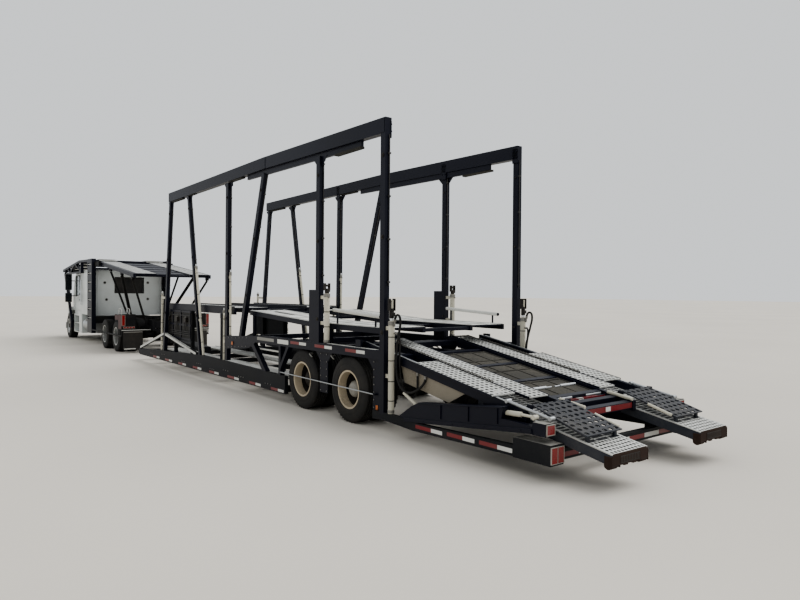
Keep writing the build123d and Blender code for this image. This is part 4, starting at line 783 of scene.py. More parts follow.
def punched(length: float, width: float, along: int, across: int, hole: float, thickness: float) -> Piece:
    """A flat sheet with rows of eight-sided holes, from its corner at the origin.

    Args:
        length: its size along x.
        width: its size along y.
        along: the number of holes along x.
        across: the number of holes along y.
        hole: the width of a hole.
        thickness: the sheet's thickness, downwards from z = 0.

    Returns:
        The sheet.
    """
    clear()
    bpy.ops.mesh.primitive_grid_add(x_subdivisions=along, y_subdivisions=across, size=1.0,
            location=(length / 2, width / 2, 0.0))
    piece = bpy.context.object
    piece.scale = (length, width, 1.0)
    settle(piece)
    rim = (min(length / along, width / across) - hole) / 2
    with editing(piece):
        bpy.ops.mesh.inset(thickness=rim, use_individual=True)
        # cuts each square's corners so that it comes close to a regular octagon
        bpy.ops.mesh.bevel(offset=hole * 0.29, segments=1, affect="VERTICES")
    choose(piece, "polygons", lambda face: len(face.vertices) == 8)
    with editing(piece, None):
        bpy.ops.mesh.delete(type="FACE")
    wall = piece.modifiers.new("wall", "SOLIDIFY")
    wall.thickness = thickness
    wall.offset = -1.0
    pick(piece)
    bpy.ops.object.modifier_apply(modifier=wall.name)
    return piece


def laid(piece: Piece, start: Point, slope: float) -> Piece:
    """Lay a sheet modelled at the origin so that it starts at a point and rises forward by a slope.

    Args:
        piece: the sheet.
        start: where its origin goes, in the rig's own frame.
        slope: its rise for each metre forward.

    Returns:
        The same sheet, in its place.
    """
    turn = Matrix.Rotation(-math.atan(slope), 4, "Y")
    piece.matrix_world = Matrix.Translation((rig_x(start[0]), start[1], start[2])) @ turn
    return settle(piece)


def round_curve(name: str, points: Sequence[Point], radius: float, sides: int) -> Piece:
    """A smooth round curve with closed ends.

    Args:
        name: its name.
        points: what it runs through, in the rig's own frame.
        radius: half its thickness.
        sides: how finely its section is divided.

    Returns:
        The curve's object.
    """
    curve = bpy.data.curves.new(name, "CURVE")
    curve.dimensions = "3D"
    curve.bevel_depth = radius
    curve.bevel_resolution = sides
    curve.resolution_u = 8
    curve.use_fill_caps = True
    spline = curve.splines.new("BEZIER")
    spline.bezier_points.add(len(points) - 1)
    for knot, (x, y, z) in zip(spline.bezier_points, points):
        knot.co = (rig_x(x), y, z)
        knot.handle_left_type = knot.handle_right_type = "AUTO"
    piece = bpy.data.objects.new(name, curve)
    bpy.context.scene.collection.objects.link(piece)
    return piece


def pipe(points: Sequence[Point], radius: float, sides: int = 5) -> Piece:
    """A smooth round pipe through points, made a mesh.

    Args:
        points: its course, in the rig's own frame.
        radius: its radius.
        sides: how fine its round is.

    Returns:
        The pipe.
    """
    piece = round_curve("pipe", points, radius, sides)
    pick(piece)
    bpy.ops.object.convert(target="MESH")
    return bpy.context.object


class Fitter:
    """Gives each finished piece its name, finish and body."""

    def __init__(self, wardrobe: "Wardrobe") -> None:
        """Keep the finishes at hand."""
        self.wardrobe = wardrobe

    def fit(self, pieces: Union[Piece, Iterable[Piece]], name: str, body: Union[Body, str], finish: str,
            replaces: Sequence[str] = (), smooth: float = 0.6) -> Piece:
        """Join, name, dress and mount one piece.

        Args:
            pieces: one mesh or several that become one.
            name: the piece's name.
            body: the body it rides on.
            finish: the key of its finish.
            replaces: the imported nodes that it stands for.
            smooth: the largest angle between faces that shade as one, in radians.

        Returns:
            The finished piece.
        """
        piece = pieces if isinstance(pieces, Piece) else join(pieces)
        settle(piece)
        piece.name = name
        piece.data.name = name
        bpy.ops.object.shade_smooth_by_angle(angle=smooth)
        piece.data.materials.clear()
        piece.data.materials.append(self.wardrobe.get(finish))
        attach(piece, body.value if isinstance(body, Body) else body)
        SLOT_OF.get(finish, finish)
        if replaces:
            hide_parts(*replaces)
        LOG.info("fitted %s with %d faces", name, len(piece.data.polygons))
        return piece

    def pair(self, pieces: Iterable[Piece], name: str, body: Body, finish: str, **more: object) -> Piece:
        """Fit left-hand pieces and their right-hand twins as one piece, as fit does."""
        return self.fit(both_sides(pieces), name, body, finish, **more)

    def twins(self, pieces: Iterable[Piece], stem: str, part: str, finish: str, stands: bool = False,
            smooth: float = 0.6) -> None:
        """Fit left-hand pieces to the left one of two bodies, and their twin to the right one.

        Args:
            pieces: the left-hand meshes, which become one.
            stem: the bodies' name without its side.
            part: the pieces' own name.
            finish: the key of their finish.
            stands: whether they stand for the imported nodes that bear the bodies' names.
            smooth: the largest angle between faces that shade as one, in radians.
        """
        left = join(pieces)
        for side, piece in (("left", left), ("right", mirrored(left))):
            body = f"{stem}_{side}"
            self.fit(piece, f"{body}.{part}", body, finish, [body] if stands else (), smooth)


# Wheels


@dataclass(frozen=True)
class WheelSize:
    """One wheel position on the left, in metres."""

    node: str
    x: float
    radius: float
    outer: float
    width: float
    twin: bool
    capped: bool = False


WHEELS = (
    WheelSize("wheel_trailer_1", 2.19, 0.46, 1.27, 0.255, True),
    WheelSize("wheel_trailer_2", 0.88, 0.46, 1.27, 0.255, True, True),
    WheelSize("wheel_drive_1", 14.97, 0.455, 1.23, 0.27, True),
    WheelSize("wheel_drive_2", 13.6, 0.455, 1.23, 0.27, True),
    WheelSize("wheel_steer", 20.62, 0.455, 1.23, 0.3, False),
)


@dataclass(frozen=True)
class Wheel:
    """Tyres on pressed steel rims, with discs, nuts and hub."""

    size: WheelSize
    rim: float = 0.26
    twin_gap: float = 0.06
    nut_count: int = 10
    nut_circle: float = 0.144
    hole_count: int = 8
    hole_circle: float = 0.196

    @property
    def middle(self) -> float:
        """The y of the face where the discs are bolted on."""
        size = self.size
        return size.outer - size.width - self.twin_gap / 2 if size.twin else size.outer - 0.12

    def tyre(self, outer: float) -> Piece:
        """Turn one tyre with its tread grooves and sidewall rings.

        Args:
            outer: the y of its outer side wall.

        Returns:
            The tyre.
        """
        half, top, rim = self.size.width / 2, self.size.radius, self.rim
        groove = top - 0.014
        side = [(-half + 0.024, rim + 0.001), (-half + 0.004, rim + 0.022), (-half + 0.004, rim + 0.036),
                (-half, rim + 0.085), (-half + 0.004, rim + 0.094), (-half + 0.002, rim + 0.102),
                (-half + 0.012, top - 0.046), (-half + 0.018, top - 0.022), (-half + 0.034, top - 0.004)]
        points = list(side)
        for line in (-0.066, -0.022, 0.022, 0.066):
            points += [(line - 0.007, top), (line - 0.004, groove),
                    (line + 0.004, groove), (line + 0.007, top)]
        points += [(-y, r) for y, r in reversed(side)]
        points += [(half - 0.04, rim - 0.003), (-half + 0.04, rim - 0.003)]
        return lathe([(y + outer - half, r) for y, r in points], self.size.x, self.size.radius, 72)

    def tread_cuts(self, outer: float) -> list[Piece]:
        """Thin sipes across the shoulders, as raised tread blocks between them.

        Args:
            outer: the y of the tyre's outer side wall.

        Returns:
            The tread blocks.
        """
        size = self.size
        blocks = []
        for edge in (-1, 1):
            y = outer - size.width / 2 + edge * (size.width / 2 - 0.043)
            first = slab((-0.014, y - 0.014, size.radius - 0.003),
                    (0.014, y + 0.014, size.radius + 0.0015), 0.001)
            first.data.transform(Matrix.Translation((ORIGIN_X, 0.0, 0.0)))
            for index in range(48):
                turn = Matrix.Rotation(2 * math.pi * index / 48, 4, "Y")
                twin = copied(first)
                twin.data.transform(Matrix.Translation((rig_x(size.x), 0.0, size.radius)) @ turn)
                blocks.append(twin)
            bpy.data.objects.remove(first)
        return blocks

    def barrel(self, inner: float, outer: float) -> Piece:
        """The rolled barrel of one rim with its two flanges.

        Args:
            inner: y of its inner flange.
            outer: y of its outer flange.

        Returns:
            The barrel.
        """
        rim = self.rim
        half = (outer - inner) / 2
        side = [(-half, rim - 0.014), (-half - 0.002, rim + 0.01), (-half + 0.006, rim + 0.014),
                (-half + 0.014, rim + 0.008), (-half + 0.016, rim - 0.004), (-half + 0.034, rim - 0.008)]
        points = side + [(-y, r) for y, r in reversed(side)]
        points += [(half - 0.02, rim - 0.018), (-half + 0.02, rim - 0.018)]
        return lathe([(y + (inner + outer) / 2, r) for y, r in points], self.size.x, self.size.radius, 64)

    def disc(self, flat: float, edge: float) -> Piece:
        """The coned disc with its ring of hand holes.

        Args:
            flat: y of the flat face round the nuts.
            edge: y where it meets the barrel.

        Returns:
            The disc.
        """
        rim = self.rim - 0.012
        thick = 0.011 if edge > flat else -0.011
        points = [(flat, 0.112), (flat, rim - 0.028), (flat + (edge - flat) * 0.45, rim - 0.014),
                (edge, rim), (edge + thick, rim), (flat + (edge - flat) * 0.45 + thick, rim - 0.02),
                (flat + thick, rim - 0.034), (flat + thick, 0.112)]
        piece = lathe(points, self.size.x, self.size.radius, 64)
        cutters = []
        for index in range(self.hole_count):
            angle = 2 * math.pi * (index + 0.5) / self.hole_count
            x = self.size.x + self.hole_circle * math.cos(angle)
            z = self.size.radius + self.hole_circle * math.sin(angle)
            cutters.append(tube((x, flat - 0.1, z), (x, edge + 0.1, z), 0.021, 16, 0.0))
        cutter = join(cutters)
        pick(piece)
        cut = piece.modifiers.new("hand_holes", "BOOLEAN")
        cut.operation = "DIFFERENCE"
        cut.solver = "EXACT"
        cut.object = cutter
        bpy.ops.object.modifier_apply(modifier=cut.name)
        bpy.data.objects.remove(cutter)
        return piece

    def liner(self, inner: float, outer: float) -> Piece:
        """A brown-black skin inside the outer rim's barrel, painted shade near the disc.

        Args:
            inner: y of its inner end.
            outer: y of its outer end.

        Returns:
            The skin.
        """
        rim = self.rim - 0.0185
        points = [(inner, rim), (outer, rim), (outer, rim - 0.0015), (inner, rim - 0.0015)]
        return lathe(points, self.size.x, self.size.radius, 64)

    def nuts(self, y: float) -> list[Piece]:
        """The ring of wheel nuts on their studs.

        Args:
            y: y of the face that they stand on.

        Returns:
            The nuts with their studs.
        """
        clear()
        bpy.ops.mesh.primitive_cylinder_add(vertices=6, radius=0.017, depth=0.024,
                rotation=(math.pi / 2, 0.0, 0.0))
        nut = soften(settle(bpy.context.object), 0.002)
        clear()
        bpy.ops.mesh.primitive_cylinder_add(vertices=10, radius=0.01, depth=0.045,
                rotation=(math.pi / 2, 0.0, 0.0))
        stud = soften(settle(bpy.context.object), 0.002)
        first = join([nut, stud])
        ring = []
        for index in range(self.nut_count):
            angle = 2 * math.pi * index / self.nut_count
            x = rig_x(self.size.x) + self.nut_circle * math.cos(angle)
            z = self.size.radius + self.nut_circle * math.sin(angle)
            ring.append(copied(first, (x, y, z)))
        bpy.data.objects.remove(first)
        return ring

    def hub(self) -> list[Piece]:
        """The hub's barrel, its end cap and the brake drum behind it."""
        size, middle = self.size, self.middle
        inner = size.outer - 2 * size.width - self.twin_gap if size.twin else size.outer - size.width
        reach = middle + (0.15 if size.twin else 0.065)
        points = [(inner + 0.07, 0.06), (inner + 0.07, 0.118), (reach, 0.118), (reach + 0.004, 0.112),
                (reach + 0.004, 0.082), (reach + 0.028, 0.076), (reach + 0.034, 0.066),
                (reach + 0.034, 0.003), (reach - 0.03, 0.003), (reach - 0.03, 0.06)]
        drum = [(inner + 0.04, 0.125), (inner + 0.04, 0.196), (inner + 0.05, 0.204), (inner + 0.15, 0.204),
                (inner + 0.16, 0.196), (inner + 0.16, 0.125)]
        if size.capped:
            points = [(inner + 0.07, 0.06), (inner + 0.07, 0.118), (reach, 0.118), (reach + 0.03, 0.11),
                    (reach + 0.055, 0.088), (reach + 0.068, 0.055), (reach + 0.072, 0.003),
                    (reach - 0.03, 0.003), (reach - 0.03, 0.06)]
        return [lathe(points, size.x, size.radius, 40), lathe(drum, size.x, size.radius, 40)]

    def pieces(self) -> dict[str, list[Piece]]:
        """All the left-hand wheel's pieces by the finish they take."""
        size = self.size
        outer0 = size.outer - size.width
        tyres = [self.tyre(size.outer), *self.tread_cuts(size.outer)]
        rims = [self.barrel(outer0 + 0.012, size.outer - 0.012)]
        discs = []
        if size.twin:
            inner1 = outer0 - self.twin_gap
            tyres += [self.tyre(inner1), *self.tread_cuts(inner1)]
            rims.append(self.barrel(inner1 - size.width + 0.012, inner1 - 0.012))
            discs += [self.disc(self.middle + 0.001, outer0 + 0.035),
                    self.disc(self.middle - 0.001, inner1 - 0.035),
                    self.liner(outer0 + 0.02, size.outer - 0.135)]
        else:
            discs.append(self.disc(self.middle, size.outer - 0.06))
        nut_y = self.middle + (0.028 if size.twin else 0.024)
        trailer = size.node.startswith("wheel_trailer")
        made = {"wheel": tyres, "rim_paint" if trailer else "alloy_rim": rims, "nut_steel": self.nuts(nut_y),
                "cap_steel" if size.capped else "hub_iron": self.hub()}
        if trailer:
            # painted shade: the trailer rims' discs and barrel skin take the brown-black of the shaded
            # insides
            made["dark_rim"] = discs
        else:
            rims += discs
        return made


def build_wheels(fitter: "Fitter") -> None:
    """Build all ten wheels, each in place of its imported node."""
    names = {"wheel": "tyres", "rim_paint": "rims", "alloy_rim": "rims", "dark_rim": "discs",
            "nut_steel": "nuts", "hub_iron": "hub", "cap_steel": "hub"}
    for size in WHEELS:
        for finish, parts in Wheel(size).pieces().items():
            fitter.twins(parts, size.node, names[finish], finish, stands=finish == "wheel")


# Rear deck


def rear_z(x: float) -> float:
    """Height of the rear deck's frame top at x."""
    return 1.15 + REAR_SLOPE * (x - 0.65)


def ramp_z(x: float) -> float:
    """Height of a loading ramp's top at x."""
    return 0.355 + RAMP_SLOPE * (x - RAMP_TIP_X)


@dataclass(frozen=True)
class Strip:
    """One perforated strip of the rear deck."""

    low_x: float
    high_x: float
    low_y: float
    high_y: float
    along: int
    across: int
    hole: float


@dataclass(frozen=True)
class RearDeck:
    """The perforated strips, ramps and flippers over the tail."""

    strips: tuple[Strip, ...] = (
        Strip(-1.98, 0.64, 0.48, 0.79, 38, 4, 0.038),
        Strip(-1.8, -0.5, 0.825, 1.19, 18, 5, 0.044),
    )
    sheet: float = 0.004
    rise: float = 0.014

    def strip(self, size: Strip) -> list[Piece]:
        """One punched sheet with the turned-down edges that stiffen it.

        Args:
            size: its corners and its rows of holes.

        Returns:
            The sheet and its edges.
        """
        run = (size.high_x - size.low_x) * math.hypot(1, REAR_SLOPE)
        sheet = punched(run, size.high_y - size.low_y, size.along, size.across, size.hole, self.sheet)
        z = rear_z(size.low_x) + self.rise
        laid(sheet, (size.low_x, size.low_y, z), REAR_SLOPE)
        edges = []
        for y in (size.low_y + 0.003, size.high_y - 0.003):
            start = (size.low_x, y, z - self.rise / 2)
            end = (size.high_x, y, rear_z(size.high_x) + self.rise / 2)
            edges.append(strut(start, end, 0.006, self.rise, 0.001))
        for x in (size.low_x + 0.004, (size.low_x + size.high_x) / 2, size.high_x - 0.004):
            middle = rear_z(x) + self.rise / 2 - 0.002
            edges.append(strut((x, size.low_y, middle), (x, size.high_y, middle), 0.008, 0.01, 0.001))
        return [sheet, *edges]

    def build_strips(self, fitter: "Fitter") -> None:
        """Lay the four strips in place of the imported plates."""
        pieces = []
        for size in self.strips:
            pieces += both_sides([join(self.strip(size))])
        fitter.fit(pieces, "rear_deck.gratings", Body.REAR_DECK, "pale_deck",
                replaces=["rear_gratings"], smooth=0.4)

    def flipper(self) -> list[Piece]:
        """The left flipper: a punched plate on a hinge tube with two feet."""
        start, end = (-2.93, 0.478), (-2.277, 0.672)
        slope = (end[1] - start[1]) / (end[0] - start[0])
        run = math.dist(start, end)
        plate = punched(run, 0.568, 8, 6, 0.046, 0.012)
        laid(plate, (start[0], 0.516, start[1] + 0.006), slope)
        knuckles = [tube((-2.265, y, 0.668), (-2.265, y + 0.085, 0.668), 0.019, 20, 0.002)
                for y in (0.516, 0.637, 0.758, 0.879, 0.999)]
        feet = [slab((-2.9, y, ramp_z(-2.885) + 0.001), (-2.87, y + 0.04, 0.485), 0.003)
                for y in (0.56, 1.0)]
        ribs = [strut((start[0] + 0.02, y, start[1] - 0.007), (end[0] - 0.02, y, end[1] - 0.007), 0.008,
                0.016, 0.001) for y in (0.524, 0.8, 1.076)]
        return [plate, *knuckles, *feet, *ribs]

    def build_flippers(self, fitter: "Fitter") -> None:
        """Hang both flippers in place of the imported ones."""
        fitter.twins(self.flipper(), "flipper", "plate", "ramp_paint", stands=True, smooth=0.4)

    def ramp_tops(self) -> list[Piece]:
        """Tread bars and edge strips on top of the left ramp."""
        low, high = -3.195, -1.505
        z0, z1 = ramp_z(low), ramp_z(high)
        edges = [strut((low, y, z0 + 0.005), (high, y, z1 + 0.005), 0.034, 0.012, 0.002)
                for y in (0.526, 1.074)]
        middle = [strut((low + 0.25, y, ramp_z(low + 0.25) + 0.003), (high, y, z1 + 0.003), 0.02, 0.008,
                0.001) for y in (0.7, 0.9)]
        bar = strut((low + 0.045, 0.544, ramp_z(low + 0.045) + 0.003),
                (low + 0.045, 1.056, ramp_z(low + 0.045) + 0.003), 0.012, 0.01, 0.002)
        row = repeated(bar, 24, (0.058, 0.0, 0.058 * RAMP_SLOPE))
        row.data.transform(Matrix.Translation((0.29, 0.0, 0.29 * RAMP_SLOPE)))
        return [*edges, *middle, row]

    def toe_plate(self) -> list[Piece]:
        """The bright punched plate on the left ramp's toe, turned down over its end."""
        sheet = punched(0.27, 0.55, 5, 10, 0.036, 0.004)
        laid(sheet, (-3.195, 0.525, ramp_z(-3.195) + 0.0125), RAMP_SLOPE)
        lip = strut((-3.19, 0.8, ramp_z(-3.19) + 0.01),
                (-3.185, 0.8, ramp_z(-3.185) - 0.015), 0.56, 0.006, 0.002)
        return [sheet, lip]

    def build_ramps(self, fitter: "Fitter") -> None:
        """Dress both ramps."""
        fitter.twins(self.ramp_tops(), "ramp", "treads", "pale_deck", smooth=0.4)
        fitter.twins(self.toe_plate(), "ramp", "toe_plate", "pale_deck", smooth=0.4)


# Markings and fittings on the trailer's sides


TAPE_RUNS = (
    # first x, end x of red, end x of white, low z, high z
    *[(*run, 0.99, 1.035) for run in ((2.51, 2.23, 2.01), (1.75, 1.47, 1.26), (0.91, 0.64, 0.43))],
    *[(*run, 0.175, 0.22) for run in (
        (5.03, 4.71, 4.5), (4.05, 3.79, 3.58), (3.19, 2.94, 2.73), (5.96, 5.68, 5.46), (6.89, 6.61, 6.39),
        (7.82, 7.54, 7.32), (8.75, 8.47, 8.25), (9.68, 9.4, 9.18))],
    (-0.65, -0.93, -1.13, 0.19, 0.235),
    (-1.21, -1.46, -1.65, 0.2, 0.245),
    (-1.72, -1.98, -2.19, 0.205, 0.25),
)


@dataclass(frozen=True)
class SideMarks:
    """Red and white conspicuity tape along both sides."""

    thick: float = 0.0012

    def strip(self, x0: float, x1: float, z0: float, z1: float) -> Piece:
        """One strip of tape on the left face."""
        return slab((min(x0, x1), HALF_WIDTH, z0), (max(x0, x1), HALF_WIDTH + self.thick, z1), 0.0004)

    def build(self, fitter: "Fitter") -> None:
        """Stick on all the tape.

        Args:
            fitter: fits each piece to its body.
        """
        red = [self.strip(a, b, z0, z1) for a, b, _, z0, z1 in TAPE_RUNS]
        white = [self.strip(b - 0.004, c, z0, z1) for _, b, c, z0, z1 in TAPE_RUNS]
        fitter.pair(red, "trailer.tape_red", Body.TRAILER, "tape_red")
        fitter.pair(white, "trailer.tape_white", Body.TRAILER, "tape_white")


# Lift cylinders


@dataclass(frozen=True)
class Lift:
    """One upright hydraulic cylinder on the left, in metres."""

    name: str
    foot: Spot
    head: Spot
    radius: float
    bands: tuple[float, ...]


@dataclass(frozen=True)
class LiftCylinders:
    """Straps, glands and end fittings of the upright cylinders."""

    y: float = HALF_WIDTH - 0.048
    lifts: tuple[Lift, ...] = (
        Lift("tail", (-0.097, 0.275), (-0.097, 1.454), 0.04, (0.439, 0.687, 0.95, 1.251)),
        Lift("wheel", (1.482, 1.065), (1.482, 1.797), 0.042, (1.072, 1.308, 1.527)),
        Lift("middle", (5.31, 0.44), (5.31, 1.455), 0.024, (0.62, 0.95, 1.28)),
        Lift("middle_tall", (5.01, 0.945), (5.015, 2.19), 0.02, (1.15, 1.55, 2.0)),
        Lift("front_tall", (6.39, 0.44), (6.845, 2.355), 0.026, (0.75, 1.25, 1.75, 2.2)),
        Lift("front", (9.15, 0.35), (9.12, 1.768), 0.026, (0.62, 1.05, 1.5)),
    )

    def at(self, lift: Lift, z: float) -> Point:
        """The middle of a cylinder at a height."""
        share = (z - lift.foot[1]) / (lift.head[1] - lift.foot[1])
        return (lift.foot[0] + (lift.head[0] - lift.foot[0]) * share, self.y, z)

    def collar(self, lift: Lift, z: float, height: float, grow: float) -> Piece:
        """A collar round a cylinder."""
        return tube(self.at(lift, z - height / 2), self.at(lift, z + height / 2),
                lift.radius + grow, 28, 0.0012)

    def clevis(self, lift: Lift) -> list[Piece]:
        """The black boot, fork and pin where a cylinder's rod meets its bracket.

        Args:
            lift: the cylinder.

        Returns:
            The boot, both cheeks of the fork, the pin and a block.
        """
        x, y = lift.head[0], self.y
        reach = 0.285 if lift.name == "tail" else 0.15
        base = lift.head[1] + (0.035 if lift.name == "tail" else -0.005)
        top = lift.head[1] + reach
        middle = (base + top) / 2
        boot = tube((x, y, base), (x, y, middle), lift.radius * 0.78, 24, 0.004)
        fork = [slab((x - 0.034, y + side, middle - 0.03), (x + 0.034, y + side + 0.009, top), 0.004)
                for side in (-0.041, 0.032)]
        pin = tube((x, y - 0.047, top - 0.035), (x, y + 0.046, top - 0.035), 0.016, 18, 0.002)
        block = slab((x - 0.044, y - 0.03, base + 0.025), (x - 0.024, y + 0.03, base + 0.075), 0.004)
        return [boot, *fork, pin, block]

    def build(self, fitter: "Fitter") -> None:
        """Build every cylinder's straps, glands and wipers, and the two rear ones' clevises.

        Args:
            fitter: fits each piece to its body.
        """
        straps, glands, rods = [], [], []
        for lift in self.lifts:
            straps += [self.collar(lift, z, 0.012, 0.0022) for z in lift.bands]
            top, low = lift.head[1], lift.foot[1]
            glands.append(self.collar(lift, top - 0.03, 0.05, 0.006))
            glands.append(self.collar(lift, low + 0.03, 0.035, 0.005))
            port = self.at(lift, top - 0.06)
            glands.append(tube(port, (port[0] - lift.radius - 0.03, port[1], port[2]), 0.011, 12, 0.002))
            rods.append(self.collar(lift, top + 0.02, 0.03, -lift.radius * 0.38))
        for parts, name, finish in (
                (straps, "straps", "strap_plastic"),
                (glands, "glands", "nut_steel"),
                (rods, "wipers", "chrome_trim")):
            fitter.pair(parts, f"lift_cylinders.{name}", Body.TRAILER, finish)
        fitter.fit(both_sides([part for lift in self.lifts[:2] for part in self.clevis(lift)]),
                "lift_cylinders.clevises", Body.TRAILER, "hub_iron")


@dataclass(frozen=True)
class HoseRun:
    """One hydraulic hose on the left, in metres."""

    name: str
    radius: float
    points: tuple[Point, ...]


@dataclass(frozen=True)
class Hoses:
    """Hydraulic hoses that hang from the tail cylinders' ports round to the rear deck's beams."""

    runs: tuple[HoseRun, ...] = (
        HoseRun("upper", 0.015, (
            (-0.162, 1.247, 1.44), (-0.17, 1.247, 1.485), (-0.205, 1.247, 1.53), (-0.252, 1.246, 1.524),
            (-0.274, 1.244, 1.46), (-0.25, 1.24, 1.33), (-0.2, 1.236, 1.15), (-0.18, 1.232, 0.98),
            (-0.18, 1.228, 0.84), (-0.2, 1.224, 0.72), (-0.26, 1.218, 0.625), (-0.34, 1.212, 0.58),
            (-0.44, 1.206, 0.58), (-0.54, 1.194, 0.618), (-0.62, 1.174, 0.68), (-0.655, 1.156, 0.745),
            (-0.658, 1.15, 0.806))),
        HoseRun("lower", 0.012, (
            (-0.16, 1.23, 1.3), (-0.198, 1.224, 1.296), (-0.222, 1.212, 1.23), (-0.2, 1.196, 1.02),
            (-0.196, 1.184, 0.85), (-0.22, 1.176, 0.69), (-0.29, 1.17, 0.56), (-0.38, 1.164, 0.508),
            (-0.455, 1.158, 0.535), (-0.5, 1.153, 0.62), (-0.505, 1.15, 0.74), (-0.505, 1.15, 0.832))),
    )

    def fittings(self, run: HoseRun) -> list[Piece]:
        """The crimped steel ferrules at both of a hose's ends.

        Args:
            run: the hose.

        Returns:
            Both ferrules.
        """
        ends = []
        for start, toward in ((run.points[0], run.points[1]), (run.points[-1], run.points[-2])):
            share = 0.04 / math.dist(start, toward)
            end = tuple(a + (b - a) * share for a, b in zip(start, toward))
            ends.append(tube(start, end, run.radius + 0.004, 12, 0.0015))
        return ends

    def elbows(self) -> list[Piece]:
        """The steel elbows between the cylinder and its two hoses."""
        return [pipe(((-0.13, 1.247, 1.395), (-0.151, 1.247, 1.397), (-0.16, 1.247, 1.41),
                (-0.162, 1.247, 1.445)), 0.011, 3), tube((-0.12, 1.24, 1.3), (-0.164, 1.23, 1.3), 0.01, 12)]

    def build(self, fitter: "Fitter") -> None:
        """Hang the hoses on both sides.

        Args:
            fitter: fits each piece to its body.
        """
        for run in self.runs:
            for name, side in (("left", 1), ("right", -1)):
                points = [(x, side * y, z) for x, y, z in run.points]
                hose = round_curve(f"hose_{run.name}", points, run.radius, 4)
                hose.name = f"hose_{run.name}_{name}"
                hose.data.materials.append(fitter.wardrobe.get("hose_rubber"))
                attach(hose, Body.TRAILER.value)
            fitter.pair(self.fittings(run), f"hoses.{run.name}_ferrules", Body.TRAILER, "nut_steel")
        fitter.pair(self.elbows(), "hoses.elbows", Body.TRAILER, "nut_steel")


# Rear deck trim


